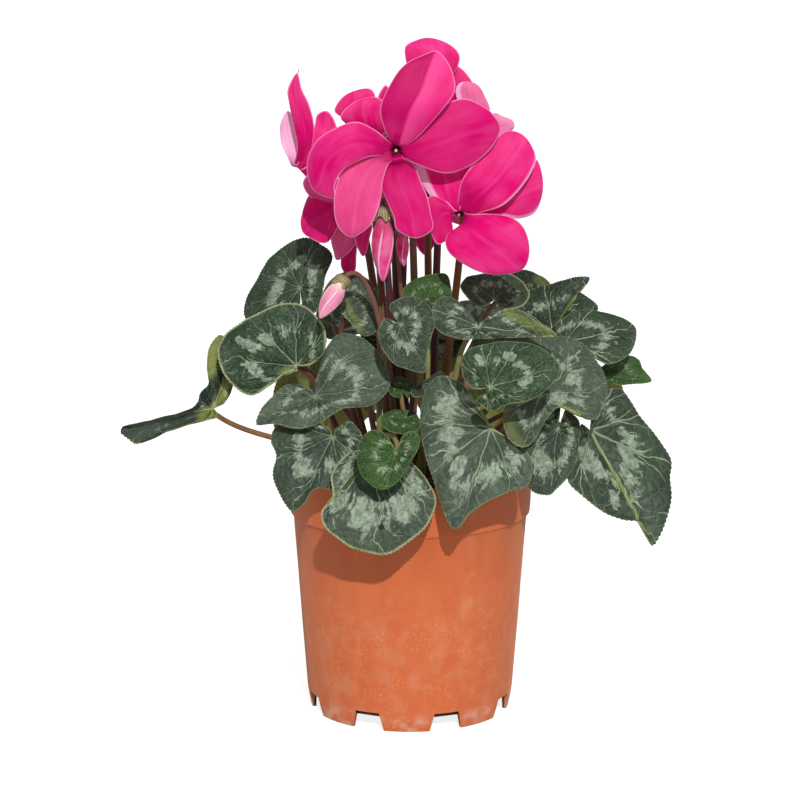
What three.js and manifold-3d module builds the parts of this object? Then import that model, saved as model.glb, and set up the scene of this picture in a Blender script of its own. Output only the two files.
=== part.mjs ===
// A florist's cyclamen in its plastic nursery pot: pot, compost, corm, leaves on their stalks, blooms and buds.
// Millimetres, +Z up. The front of the plant looks along -Y.
import * as THREE from "three";
import { mergeVertices } from "three/addons/utils/BufferGeometryUtils.js";
import Module from "manifold-3d";

const wasm = await Module();
wasm.setup();

// Driving sizes of the pot
const POT_HEIGHT = 122;
const RIM_RADIUS = 59.4;
const BAND_FOOT = 97;
const BODY_TOP_RADIUS = 57;
const BASE_RADIUS = 50.6;
const FOOT_RADIUS = 48.8;
const FOOT_WALL = 1.9;
const WALL = 1.3;
const FLOOR_UNDER = 6;
const FLOOR_OVER = 7.2;
const NOTCH_HEIGHT = 9;
const NOTCH_COUNT = 8;
const NOTCH_WIDTH_LOW = 16.5;
const NOTCH_WIDTH_HIGH = 12.5;
const FRONT_FOOT_TURN = -2;
const POT_SEGMENTS = 36;

// Driving sizes of what fills it
const GAP = 0.35;
const SOIL_LEVEL = 110;
const CORM_RADIUS = 27;
const CORM_TOP = 117.5;
const CORM_FOOT = 94;
const CORM_MIDDLE = 102;
const CORM_SEGMENTS = 18;
const ROOT_DEPTH = 5;

// Driving sizes of leaves, stalks and petals
const BLADE = 1.0;
const PETAL = 0.9;
const PETIOLE_RADIUS = 1.65;
const YOUNG_PETIOLE_RADIUS = 1.35;
const PETIOLE_SIDES = 4;
const SCAPE_RADIUS = 2.2;
const SCAPE_SIDES = 5;
const PETAL_CLAW = 2.4;
const PETAL_WIDEST = 0.62;
const REFLEX_END = 0.27;
const CORE_RING = 3.1;
const CORE_SINK = 3.2;
const CORE_SIDES = 6;
const LAYER_STEP = 0.37;
const ELBOW_REACH = 4.6;
const ELBOW_FORWARD = 1.6;
const ELBOW_SPREAD = 0.6;
const HOOK_SWING = 9;
const FLOWER_HOOK = 0.14;
const FLOWER_STEPS = 7;
const LEAF_HOOK = 0.28;
const LEAF_LIFT = 0.75;
const LEAF_STEPS = 5;
const HOLE_CLEARANCE = 0.42;

// Rings on the crown of the corm that the stalks rise from
const RINGS = {
  outer: { radius: 20.8, lean: 0.8 },
  middle: { radius: 15.6, lean: 0.45 },
  inner: { radius: 10.2, lean: 0.15 },
  centre: { radius: 4.6, lean: 0.05 },
};

// The front of the plant is laid out on a drawing 800 units square, as an eye in front of the pot sees it.
// A place on the drawing is [across, down]; a depth is how far it lies behind the pot's axis.
const EYE = new THREE.Vector3(-4.9, -1300, 422);
const EYE_PITCH = 11.73;
const EYE_REACH = 2740;
const DRAWING_MIDDLE = 400;

// Leaves on the drawing: hub where the stalk meets the blade with its depth, tip, the way the upper side looks,
// and the edge from one side of the cleft round to the other, against the clock.
// Bends are [towards, from, curl], in degrees from the tip, leaf lengths, and radians a leaf length.
const DRAWN_LEAVES = [
  { name: "leaf_left_upper", ring: "middle", hub: [300, 288, 5], tip: [245, 306], face: [-0.25, -0.85, 0.45],
    bends: [[0, 0.2, -0.4]],
    edge: [[306, 314], [317, 312], [322, 296], [325, 278], [333, 256], [320, 243], [304, 237], [284, 246],
      [268, 259], [256, 280], [245, 300], [244, 318], [262, 330], [284, 331], [297, 318]] },
  { name: "leaf_left_middle", ring: "outer", hub: [297, 366, -27], tip: [217, 358], face: [-0.1, -0.93, 0.35],
    bends: [[-90, 0.3, -0.3]],
    edge: [[309, 366], [323, 354], [327, 340], [323, 324], [310, 309], [293, 303], [272, 306], [248, 317],
      [227, 331], [218, 346], [218, 361], [224, 376], [236, 389], [252, 396], [268, 387], [282, 377], [298, 371]] },
  { name: "leaf_left_folded", ring: "outer", hub: [315, 397, -46], tip: [391, 382], face: [0.1, -0.8, 0.6],
    edge: [[313, 390], [299, 385], [284, 386], [271, 397], [260, 410], [256, 425], [275, 424], [298, 429],
      [321, 423], [342, 409], [370, 406], [389, 391], [390, 374], [378, 350], [360, 336], [340, 334], [328, 345],
      [321, 362], [318, 380]] },
  { name: "leaf_left_far", ring: "outer", hub: [214, 408, -20], tip: [119, 429], face: [0.1, -0.85, 0.5],
    twist: 7, wave: 0, bow: [0, 0, -14],
    edge: [[224, 404], [232, 390], [235, 370], [230, 346], [220, 334], [209, 347], [207, 366], [209, 380],
      [199, 395], [194, 407], [176, 414], [142, 426], [118, 429], [130, 439], [140, 443], [152, 436], [176, 429],
      [203, 421], [219, 418]] },
  { name: "leaf_left_low", ring: "outer", hub: [333, 437, -53], tip: [291, 512], face: [-0.15, -0.9, 0.4],
    edge: [[328, 427], [300, 417], [277, 424], [270, 440], [276, 455], [272, 473], [277, 491], [291, 512],
      [304, 505], [316, 490], [341, 490], [360, 474], [366, 453], [361, 433], [350, 421], [338, 427]] },
  { name: "leaf_front_low", ring: "outer", hub: [372, 453, -63], tip: [384, 556], face: [0, -0.9, 0.42],
    edge: [[366, 448], [346, 455], [331, 475], [332, 498], [321, 512], [325, 529], [342, 543], [361, 552],
      [384, 556], [406, 546], [427, 527], [437, 503], [430, 484], [415, 465], [396, 450], [379, 447]] },
  { name: "leaf_front_small", ring: "middle", hub: [396, 453, -82], tip: [384, 490], face: [-0.1, -0.98, 0.2],
    young: true,
    edge: [[393, 445], [387, 435], [378, 430], [368, 431], [360, 441], [356, 456], [360, 473], [371, 486],
      [384, 490], [398, 482], [410, 464], [419, 448], [420, 438], [413, 431], [404, 434], [399, 444]] },
  { name: "leaf_front_right", ring: "outer", hub: [491, 428, -60], tip: [458, 530], face: [-0.05, -0.88, 0.47],
    edge: [[486, 420], [471, 392], [456, 379], [440, 375], [427, 386], [420, 411], [421, 436], [426, 462],
      [436, 492], [442, 511], [450, 527], [459, 529], [470, 514], [488, 502], [509, 492], [528, 486], [533, 466],
      [527, 451], [512, 446], [501, 439], [496, 431]] },
  { name: "leaf_right_round", ring: "middle", hub: [490, 388, -72], tip: [560, 366], face: [0.05, -0.85, 0.5],
    bow: [4, 0, 25],
    edge: [[481, 396], [477, 403], [490, 412], [505, 406], [522, 402], [543, 393], [557, 378], [560, 366],
      [551, 353], [534, 344], [514, 341], [491, 343], [470, 348], [461, 361], [463, 377], [472, 389]] },
  { name: "leaf_right_middle", ring: "outer", hub: [540, 396, -42], tip: [608, 388], face: [0.1, -0.8, 0.6],
    bends: [[-115, 0.15, 2.6]],
    edge: [[528, 400], [509, 401], [503, 415], [505, 432], [514, 444], [527, 447], [537, 437], [545, 422],
      [556, 409], [572, 408], [583, 415], [591, 421], [600, 414], [607, 398], [607, 379], [597, 359], [584, 344],
      [570, 336], [550, 335], [512, 334], [474, 335], [476, 355], [500, 374], [526, 391]] },
  { name: "leaf_right_low", ring: "outer", hub: [558, 430, -36], tip: [548, 496], face: [0.05, -0.9, 0.45],
    edge: [[556, 405], [540, 410], [524, 432], [521, 460], [524, 480], [532, 492], [548, 496], [557, 489],
      [568, 478], [576, 462], [579, 445], [580, 426], [572, 408]] },
  { name: "leaf_right_hanging", ring: "outer", hub: [590, 430, -16], tip: [653, 547], face: [0.3, -0.85, 0.42],
    edge: [[581, 424], [573, 440], [572, 462], [568, 482], [586, 500], [606, 514], [624, 521], [642, 524],
      [648, 539], [654, 547], [663, 532], [669, 514], [672, 495], [671, 478], [672, 460], [656, 436], [642, 417],
      [631, 400], [621, 389], [607, 390], [594, 398], [590, 414]] },
  { name: "leaf_right_small", ring: "middle", hub: [609, 377, 12], tip: [652, 381], face: [0, -0.6, 0.8],
    young: true,
    edge: [[604, 382], [617, 385], [634, 384], [652, 381], [643, 369], [639, 359], [627, 356], [612, 361],
      [601, 367], [600, 375]] },
  { name: "leaf_right_upper", ring: "middle", hub: [565, 342, -2], tip: [637, 330], face: [0.2, -0.7, 0.68],
    edge: [[567, 349], [585, 352], [597, 359], [607, 364], [618, 362], [630, 354], [636, 342], [637, 330],
      [631, 321], [620, 315], [601, 311], [584, 310], [567, 316], [553, 326], [549, 337], [557, 344]] },
  { name: "leaf_right_veined", ring: "middle", hub: [552, 331, 20], tip: [589, 278], face: [-0.2, -0.75, 0.6],
    edge: [[557, 338], [576, 334], [593, 320], [599, 306], [588, 297], [577, 290], [579, 284], [590, 278],
      [576, 276], [562, 280], [550, 284], [536, 287], [518, 296], [503, 311], [512, 326], [538, 333]] },
  { name: "leaf_right_behind", ring: "middle", hub: [530, 304, 38], tip: [526, 269], face: [0.1, -0.75, 0.65],
    edge: [[536, 312], [549, 304], [553, 290], [545, 278], [526, 270], [510, 270], [501, 278], [500, 292],
      [508, 305], [523, 312]] },
  { name: "leaf_centre_cupped", ring: "middle", hub: [478, 327, -38], tip: [558, 336], face: [0, -0.85, 0.5],
    bends: [[60, 0.1, 1.2]],
    edge: [[473, 320], [463, 305], [450, 297], [437, 299], [431, 310], [433, 323], [442, 334], [465, 339],
      [507, 338], [536, 337], [558, 336], [543, 325], [525, 313], [508, 309], [494, 314], [484, 321]] },
  { name: "leaf_centre_upper", ring: "middle", hub: [494, 300, -8], tip: [529, 295], face: [0, -0.6, 0.8],
    bends: [[0, 0, 0.6]],
    edge: [[499, 307], [510, 310], [524, 305], [530, 296], [526, 285], [515, 276], [500, 272], [480, 274],
      [466, 278], [460, 286], [466, 296], [478, 306], [488, 305]] },
  { name: "leaf_centre_silver", ring: "middle", hub: [401, 325, -46], tip: [425, 373], face: [0.05, -0.85, 0.5],
    edge: [[393, 321], [384, 319], [378, 332], [381, 347], [391, 362], [408, 370], [425, 373], [427, 358],
      [431, 340], [435, 324], [432, 309], [423, 300], [410, 296], [397, 299], [389, 306], [395, 316]] },
  { name: "leaf_centre_bright", ring: "middle", hub: [427, 300, -24], tip: [446, 273], face: [0.05, -0.8, 0.6],
    young: true, bow: [9, 8, 0],
    edge: [[431, 305], [441, 307], [450, 303], [452, 291], [449, 278], [443, 273], [428, 275], [413, 280],
      [404, 287], [402, 296], [410, 302], [422, 304]] },
  { name: "leaf_young_high", ring: "inner", hub: [403, 393, -38], tip: [391, 380], face: [0, -0.6, 0.8],
    young: true, bow: [-5, -2, 0],
    edge: [[408, 399], [416, 394], [414, 384], [404, 378], [394, 378], [388, 386], [391, 395], [400, 398]] },
  { name: "leaf_young_low", ring: "outer", hub: [406, 417, -58], tip: [381, 425], face: [0, -0.6, 0.8],
    young: true,
    edge: [[409, 411], [396, 410], [384, 414], [380, 424], [389, 432], [403, 434], [416, 432], [421, 424],
      [417, 414]] },
  { name: "leaf_behind_bud", ring: "middle", hub: [344, 314, -14], tip: [350, 275], face: [0.1, -0.95, 0.25],
    edge: [[351, 324], [362, 336], [376, 332], [381, 314], [378, 294], [370, 281], [358, 273], [343, 272],
      [329, 281], [321, 299], [324, 320], [337, 326]] },
  { name: "leaf_centre_brown", ring: "middle", hub: [440, 382, -38], tip: [411, 393], face: [0, -0.6, 0.8],
    bow: [3, -1, 0],
    edge: [[446, 377], [440, 371], [424, 381], [411, 391], [414, 397], [428, 395], [441, 389], [451, 385],
      [452, 379]] },
];

// Leaves round the back: hub and tip in millimetres, with the outline of an even heart
const PLAIN_LEAVES = [
  { name: "leaf_back_right_upper", ring: "middle", hub: [33, 58, 177], tip: [43, 85, 189], face: [0, -0.4, 0.9],
    bow: [6, 0, 6],
    bends: [[90, 0.2, -0.4], [-90, 0.1, -0.4], [0, 0.4, -0.9]] },
  { name: "leaf_back_middle", ring: "middle", hub: [2, 56, 172], tip: [4, 86, 190], face: [0.1, -0.5, 0.85],
    bends: [[90, 0.2, -0.4], [-90, 0.2, -0.4], [0, 0.4, -0.9]] },
  { name: "leaf_back_left_upper", ring: "middle", hub: [-24, 48, 183], tip: [-30, 76, 196], face: [0, -0.4, 0.9],
    bends: [[90, 0.2, -0.3], [-90, 0.1, -0.5], [0, 0.4, -0.9]] },
  { name: "leaf_back_left", ring: "outer", hub: [-62, 30, 172], tip: [-90, 45, 158], face: [-0.5, 0.4, 0.75],
    bends: [[90, 0.1, -0.4], [-90, 0.1, -0.5]] },
  { name: "leaf_back_right", ring: "outer", hub: [72, 48, 160], tip: [102, 70, 138], face: [0.5, 0.5, 0.7],
    bends: [[90, 0.2, -0.5], [-90, 0, 0.3], [0, 0.4, -0.4]] },
  { name: "leaf_back_left_low", ring: "outer", hub: [-38, 62, 148], tip: [-52, 84, 110], face: [-0.4, 0.85, 0.4],
    bends: [[90, 0.2, -0.4], [-90, 0.2, -0.4]] },
  { name: "leaf_back_right_low", ring: "outer", hub: [32, 66, 147], tip: [46, 87, 108], face: [0.35, 0.88, 0.35],
    bends: [[90, 0.1, -0.5], [-90, 0.2, -0.3], [0, 0.5, 0.4]] },
];

// Each bloom: its mouth on the drawing with its depth, the way the mouth looks, petals that are drawn, and petals
// out of sight by rule. A drawn petal has rows [across, down, across, down, depth] of its two edges, then its tip.
// A petal by rule is [turn, sweep, length, width, twist, curl]: turn round the mouth from its right, sweep from the
// mouth's axis, in degrees and millimetres.
const BLOOMS = [
  { name: "bloom_front", mouth: [396, 150, -44], facing: [0, -0.97, -0.25], bow: [7.5, 6, 0], drawn: [
    [[384, 128, 419, 136, -49], [381, 108, 438, 113, -51], [388, 91, 453, 92, -50],
      [402, 70, 452, 75, -47], [419, 58, 446, 61, -45], [436, 51, -43]],
    [[420, 132, 419, 161, -46], [436, 111, 446, 173, -46], [462, 99, 471, 166, -45],
      [484, 107, 489, 150, -43], [494, 116, 497, 138, -42], [500, 127, -41]],
    [[375, 130, 368, 157, -49], [356, 122, 352, 164, -52], [335, 128, 341, 173, -52],
      [316, 141, 335, 186, -50], [307, 164, 334, 199, -47], [313, 189, -45]],
    [[366, 156, 386, 162, -46], [346, 166, 383, 180, -47], [336, 188, 381, 198, -48],
      [334, 211, 376, 213, -49], [339, 228, 368, 227, -49], [352, 237, -48]],
    [[385, 168, 411, 163, -42], [380, 184, 421, 182, -42], [387, 201, 427, 197, -43],
      [394, 217, 431, 213, -44], [397, 230, 433, 229, -45], [416, 238, -45]],
  ], byRule: [] },
  { name: "bloom_right", mouth: [459, 213, -34], facing: [-0.15, -0.75, -0.65], drawn: [
    [[459, 192, 483, 212, -39], [464, 177, 503, 205, -42], [478, 160, 520, 190, -41],
      [494, 141, 531, 172, -38], [507, 131, 535, 155, -35], [524, 136, -33]],
    [[485, 203, 485, 216, -33], [505, 190, 503, 215, -33], [524, 168, 520, 219, -31],
      [537, 160, 536, 212, -29], [543, 186, -28]],
    [[438, 204, 462, 194, -37], [426, 190, 467, 178, -36], [417, 172, 471, 160, -34],
      [419, 155, 463, 146, -33], [442, 141, -32]],
    [[447, 236, 487, 214, -40], [449, 253, 508, 216, -44], [468, 267, 523, 227, -46],
      [490, 274, 530, 246, -46], [508, 274, 528, 261, -45], [521, 270, -44]],
    [[445, 200, 452, 224, -38], [431, 196, 453, 231, -38], [425, 209, 450, 238, -38],
      [436, 243, -38]],
  ], byRule: [] },
  { name: "bloom_top", mouth: [430, 114, 14], facing: [0.1, -0.35, -0.93], bow: [1, 3, 0], drawn: [
    [[412, 82, 448, 84, 7], [406, 62, 458, 68, 4], [405, 47, 459, 54, 4],
      [415, 41, 446, 43, 6], [429, 38, 8]],
    [[446, 84, 458, 106, 11], [452, 67, 471, 95, 9], [459, 67, 474, 87, 9],
      [468, 76, 9]],
  ], byRule: [[205, 160, 19, 13, 15, 3], [338, 158, 26, 15, 15, 3], [12, 158, 21, 14, 15, 3]] },
  { name: "bloom_left", mouth: [303, 168, -8], facing: [-0.5, -0.4, -0.77], drawn: [
    [[297, 145, 313, 143, -18], [293, 125, 314, 124, -19], [289, 105, 309, 105, -18],
      [288, 89, 302, 90, -16], [297, 73, -14]],
    [[287, 155, 299, 152, -11], [280, 138, 299, 138, -9], [280, 124, 296, 124, -8],
      [288, 111, -8]],
    [[309, 141, 324, 149, -17], [314, 126, 336, 135, -14], [317, 115, 335, 122, -13],
      [327, 111, -13]],
    [[318, 160, 320, 176, -15], [335, 158, 338, 178, -14], [348, 168, -13]],
  ], byRule: [[215, 150, 26, 20, 15, 0]] },
  { name: "bloom_left_low", mouth: [345, 205, -12], facing: [-0.35, -0.4, -0.85], drawn: [
    [[325, 198, 338, 226, -15], [309, 195, 328, 242, -16], [301, 216, 315, 240, -16],
      [303, 232, -15]],
    [[334, 226, 357, 223, -12], [331, 240, 359, 238, -12], [333, 252, 352, 249, -11],
      [338, 260, -10]],
    [[354, 228, 371, 222, -17], [355, 240, 370, 238, -18], [359, 251, 367, 251, -18],
      [363, 256, -17]],
    [[343, 236, 357, 236, -6], [341, 256, 356, 257, -5], [342, 268, 355, 270, -5],
      [350, 279, -5]],
  ], byRule: [[90, 100, 28, 22, 0, 10]] },
  { name: "bloom_back_left", mouth: [364, 140, 26], facing: [-0.25, -0.35, -0.9], drawn: [
    [[344, 121, 373, 112, 16], [334, 111, 375, 98, 15], [342, 98, 370, 89, 15],
      [355, 91, 16]],
    [[347, 126, 380, 120, 12], [341, 116, 382, 104, 10], [352, 104, 378, 98, 10],
      [366, 98, 11]],
    [[375, 108, 388, 108, 18], [379, 94, 390, 94, 16], [386, 85, 16]],
  ], byRule: [[200, 145, 28, 18, 15, 5], [340, 148, 28, 18, 15, 5]] },
  { name: "bloom_back_right", mouth: [478, 141, 18], facing: [0.4, -0.3, -0.87], drawn: [
    [[462, 112, 490, 112, 4], [456, 93, 486, 98, 3], [459, 84, 479, 86, 3],
      [469, 82, 4]],
    [[492, 115, 500, 136, 15], [502, 116, 513, 130, 15], [513, 121, 15]],
  ], byRule: [[213, 148, 22, 15, 15, 5], [338, 150, 28, 20, 15, 5]] },
  { name: "bloom_back", mouth: [424, 190, 46], facing: [0.1, 0.9, -0.4], bow: [-7.5, 0, 0], drawn: [
    [[413, 218, 437, 218, 50], [413, 238, 437, 238, 50], [425, 255, 50]],
  ], byRule: [[60, 105, 40, 30, 15, 0], [5, 110, 36, 30, 15, 5], [130, 100, 40, 30, 15, 5],
    [190, 100, 38, 28, 15, 5]] },
];

// Each bud: the middle of its mouth to be, the way it hangs, its length and its thickness
const BUDS = [
  { name: "bud_long", mouth: [-12.8, -34, 240], facing: [0, -0.08, -1], bow: [-1, 0, 0], length: 33,
    radius: 5.6, twist: 60 },
  { name: "bud_small", ring: "inner", mouth: [-35.3, -34, 210.2], facing: [-0.5, -0.25, -0.8], length: 21.5,
    radius: 4.8, twist: 50 },
  { name: "bud_slim", mouth: [-4, -23, 234.2], facing: [0.08, -0.16, -1], bow: [-4, 0, 0], length: 18,
    radius: 3.2, twist: 70 },
];

const UP = new THREE.Vector3(0, 0, 1);
const rad = THREE.MathUtils.degToRad;

function vec(list) {
  return new THREE.Vector3(list[0], list[1], list[2]);
}

function mix(...pairs) {
  const sum = new THREE.Vector3();
  for (const [vector, share] of pairs) {
    sum.addScaledVector(vector, share);
  }
  return sum;
}

function closed(geometry) {
  const bare = geometry.clone();
  bare.deleteAttribute("normal");
  bare.deleteAttribute("uv");
  return mergeVertices(bare, 1e-4);
}

function asSolid(geometry) {
  const merged = closed(geometry);
  return new wasm.Manifold(new wasm.Mesh({
    numProp: 3,
    vertProperties: new Float32Array(merged.attributes.position.array),
    triVerts: new Uint32Array(merged.index.array),
  }));
}

function asGeometry(solid) {
  const mesh = solid.getMesh();
  const geometry = new THREE.BufferGeometry();
  geometry.setAttribute("position", new THREE.BufferAttribute(new Float32Array(mesh.vertProperties), 3));
  geometry.setIndex(largestSkin(Array.from(mesh.triVerts)));
  return mergeVertices(geometry.toNonIndexed(), 1e-5);
}

// The triangles of the largest skin, without the pockets that petals shut in between them
function largestSkin(index) {
  const parent = index.map((corner, i) => i);
  const skinOf = (triangle) => {
    let root = triangle;
    while (parent[root] !== root) {
      root = parent[root];
    }
    return root;
  };
  const owner = new Map();
  index.forEach((corner, i) => {
    const triangle = Math.floor(i / 3);
    const next = index[3 * triangle + ((i + 1) % 3)];
    const edge = `${Math.min(corner, next)} ${Math.max(corner, next)}`;
    if (owner.has(edge)) {
      parent[skinOf(triangle)] = skinOf(owner.get(edge));
    } else {
      owner.set(edge, triangle);
    }
  });
  const tally = new Map();
  index.forEach((corner, i) => {
    const skin = skinOf(Math.floor(i / 3));
    tally.set(skin, (tally.get(skin) ?? 0) + 1);
  });
  const [largest] = [...tally].reduce((best, next) => (next[1] > best[1] ? next : best));
  return index.filter((corner, i) => skinOf(Math.floor(i / 3)) === largest);
}

function join(solids) {
  return solids.reduce((whole, next) => whole.add(next));
}

// A straight or curved rod of a few sides along a path
function rod(path, radius, sides, steps) {
  const section = new THREE.Shape();
  for (let side = 0; side < sides; side += 1) {
    const turn = (2 * Math.PI * side) / sides;
    const place = [radius * Math.cos(turn), radius * Math.sin(turn)];
    if (side === 0) {
      section.moveTo(...place);
    } else {
      section.lineTo(...place);
    }
  }
  section.closePath();
  return asSolid(new THREE.ExtrudeGeometry(section, { extrudePath: path, steps, bevelEnabled: false }));
}

// Triangles between two rows of points, where the second row lies outside or beyond the first
function strip(faces, near, far) {
  let a = 0;
  let b = 0;
  while (a < near.length - 1 || b < far.length - 1) {
    const nextA = near.length > 1 ? (a + 1) / (near.length - 1) : Infinity;
    const nextB = far.length > 1 ? (b + 1) / (far.length - 1) : Infinity;
    if (b < far.length - 1 && (nextB <= nextA || a === near.length - 1)) {
      faces.push([near[a], far[b], far[b + 1]]);
      b += 1;
    } else {
      faces.push([near[a], far[b], near[a + 1]]);
      a += 1;
    }
  }
}

// Mean directions of the faces round each point of a sheet
function sheetNormals(points, faces) {
  const normals = points.map(() => new THREE.Vector3());
  for (const [a, b, c] of faces) {
    const one = points[b].clone().sub(points[a]);
    const other = points[c].clone().sub(points[a]);
    const across = one.cross(other);
    for (const corner of [a, b, c]) {
      normals[corner].add(across);
    }
  }
  return normals.map((normal) => normal.normalize());
}

// A closed blade of even thickness on a mid surface, split alike on both faces
function blade(points, faces, border, thickness) {
  const normals = sheetNormals(points, faces);
  const count = points.length;
  const positions = [];
  for (const side of [0.5, -0.5]) {
    points.forEach((point, i) => {
      positions.push(...mix([point, 1], [normals[i], side * thickness]).toArray());
    });
  }
  const index = [];
  for (const [a, b, c] of faces) {
    index.push(a, b, c, c + count, b + count, a + count);
  }
  border.forEach((here, i) => {
    const next = border[(i + 1) % border.length];
    index.push(here + count, next + count, next, here + count, next, here);
  });
  const geometry = new THREE.BufferGeometry();
  geometry.setAttribute("position", new THREE.Float32BufferAttribute(positions, 3));
  geometry.setIndex(index);
  return asSolid(geometry);
}

// The line from the eye through a place on the drawing
function sight(across, down) {
  const pitch = rad(EYE_PITCH);
  const forward = new THREE.Vector3(0, Math.cos(pitch), -Math.sin(pitch));
  const up = new THREE.Vector3(0, Math.sin(pitch), Math.cos(pitch));
  const right = new THREE.Vector3(1, 0, 0);
  return mix([forward, EYE_REACH], [right, across - DRAWING_MIDDLE], [up, DRAWING_MIDDLE - down]);
}

// A place on the drawing, thrown onto the upright plane at a depth
function atDepth(across, down, depth) {
  const way = sight(across, down);
  return mix([EYE, 1], [way, (depth - EYE.y) / way.y]);
}

// A place on the drawing, thrown onto the plane through a point
function onPlane(across, down, point, face) {
  const way = sight(across, down);
  return mix([EYE, 1], [way, point.clone().sub(EYE).dot(face) / way.dot(face)]);
}

// Axes of a drawn leaf, with its edge in leaf lengths: towards the tip, and across
function drawnLeaf(leaf) {
  const hub = atDepth(...leaf.hub);
  const face = vec(leaf.face).normalize();
  const along = onPlane(...leaf.tip, hub, face).sub(hub);
  const length = along.length();
  along.normalize();
  const across = new THREE.Vector3().crossVectors(face, along);
  const edge = leaf.edge.map((spot) => {
    const place = onPlane(...spot, hub, face).sub(hub).divideScalar(length);
    return new THREE.Vector2(place.dot(along), place.dot(across));
  });
  return { leaf, hub, along, across, face, length, edge, rise: EYE.clone().sub(hub).normalize(), slides: 0 };
}

// Axes of a leaf given by hub and tip, with the edge of an even heart
function plainLeaf(leaf) {
  const hub = vec(leaf.hub);
  const along = vec(leaf.tip).sub(hub);
  const length = along.length();
  along.normalize();
  const face = vec(leaf.face);
  face.addScaledVector(along, -face.dot(along)).normalize();
  const across = new THREE.Vector3().crossVectors(face, along);
  return { leaf, hub, along, across, face, length, edge: heartEdge(), rise: face, slides: 1 };
}

const CLEFT_TURN = 170;
const HEART_POINTS = 15;

// Edge of a heart-shaped leaf one unit long, against the clock from one side of its cleft
function heartEdge() {
  const edge = [];
  for (let i = 0; i < HEART_POINTS; i += 1) {
    const turn = rad(-CLEFT_TURN + (2 * CLEFT_TURN * i) / (HEART_POINTS - 1));
    const reach = 0.72 + 0.23 * Math.cos(turn) - 0.03 * Math.cos(2 * turn) + 0.08 * Math.cos(3 * turn);
    edge.push(new THREE.Vector2(reach * Math.cos(turn), reach * Math.sin(turn)));
  }
  return edge;
}

// A point of a leaf's mid surface, from its flat place in leaf lengths
function leafPoint(axes, spot, reach) {
  const { bends = [], wave = 0.03, phase = 0, twist = 0 } = axes.leaf;
  const u = spot.x * reach;
  const v = spot.y * reach;
  let [along, across] = [u, v];
  let out = wave * reach ** 3 * Math.sin(5 * Math.atan2(v, u) + phase) + twist * Math.max(0, u) * v;
  for (const [towards, from, curl] of bends) {
    const cos = Math.cos(rad(towards));
    const sin = Math.sin(rad(towards));
    const past = Math.max(0, u * cos + v * sin - from);
    const slide = (Math.sin(curl * past) / curl - past) * axes.slides;
    along += slide * cos;
    across += slide * sin;
    out += (1 - Math.cos(curl * past)) / curl;
  }
  return mix([axes.hub, 1], [axes.along, along * axes.length], [axes.across, across * axes.length],
    [axes.rise, out * axes.length]);
}

const SCALLOP = 0.02;
const PETIOLE_SEAT = 1.8;
const PETIOLE_SINK = 0.8;
const BLADE_RINGS = [[0.4, 5], [0.74, 10], [1, 21]];
const YOUNG_RINGS = [[0.5, 5], [1, 13]];

function leafBlade(axes) {
  const outline = new THREE.SplineCurve(axes.edge);
  const points = [axes.hub.clone()];
  const faces = [];
  const rows = [[0]];
  for (const [reach, count] of axes.leaf.young ? YOUNG_RINGS : BLADE_RINGS) {
    const row = [];
    for (let i = 0; i < count; i += 1) {
      const cut = reach === 1 ? SCALLOP * (i % 2 === 0 ? -0.5 : 0.5) : 0;
      row.push(points.length);
      points.push(leafPoint(axes, outline.getPointAt(i / (count - 1)), reach + cut));
    }
    strip(faces, rows.at(-1), row);
    rows.push(row);
  }
  const starts = rows.slice(0, -1).map((row) => row[0]);
  const ends = rows.slice(1, -1).map((row) => row.at(-1)).reverse();
  return blade(points, faces, [...starts, ...rows.at(-1), ...ends], BLADE);
}

// A stalk that leaves the crown leaning outwards and arrives at its seat in a given direction, swung out behind it
function stalkPath(root, { ring, seat, arrival, hook, swing, bow = [0, 0, 0] }) {
  const outward = new THREE.Vector3(root.x, root.y, 0).normalize();
  const behind = new THREE.Vector3(-arrival.x, -arrival.y, 0).normalize();
  const aside = behind.multiplyScalar(swing).add(vec(bow));
  const leaving = mix([UP, 1], [outward, RINGS[ring].lean]).normalize();
  const span = seat.distanceTo(root);
  const second = mix([root, 1], [leaving, 0.42 * span], [aside, 1]);
  const third = mix([seat, 1], [arrival, -hook * span], [aside, 1]);
  return new THREE.CubicBezierCurve3(root, second, third, seat);
}

// The stalks of one ring stand evenly round it, in the order of the directions that they leave in
function placeRoots(stalks) {
  for (const [name, ring] of Object.entries(RINGS)) {
    const members = stalks.filter((stalk) => stalk.ring === name);
    const direction = (stalk) => Math.atan2(stalk.seat.y, stalk.seat.x);
    members.sort((one, other) => direction(one) - direction(other));
    const step = (2 * Math.PI) / members.length;
    const shift = members.reduce((sum, stalk, i) => sum + direction(stalk) - i * step, 0) / members.length;
    members.forEach((stalk, i) => {
      const turn = shift + i * step;
      const root = [ring.radius * Math.cos(turn), ring.radius * Math.sin(turn), CORM_TOP - ROOT_DEPTH];
      stalk.path = stalkPath(vec(root), stalk);
    });
  }
}

// Axes round a mouth: its right, its top, and the way it looks
function mouthAxes(flower) {
  const facing = vec(flower.facing).normalize();
  const right = new THREE.Vector3().crossVectors(UP, facing).normalize();
  const top = new THREE.Vector3().crossVectors(facing, right);
  return { mouth: flower.drawn ? atDepth(...flower.mouth) : vec(flower.mouth), facing, right, top };
}

// Points of a turned form on a flower's axis, measured from its mouth
function turned(profile, axes, segments) {
  const geometry = new THREE.LatheGeometry(profile.map(([r, y]) => new THREE.Vector2(r, y)), segments);
  const basis = new THREE.Matrix4().makeBasis(axes.right, axes.facing, axes.top.clone().negate());
  geometry.applyMatrix4(basis.setPosition(axes.mouth));
  return asSolid(geometry);
}

const smooth = THREE.MathUtils.smoothstep;
const PETAL_STEPS = 24;

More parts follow.
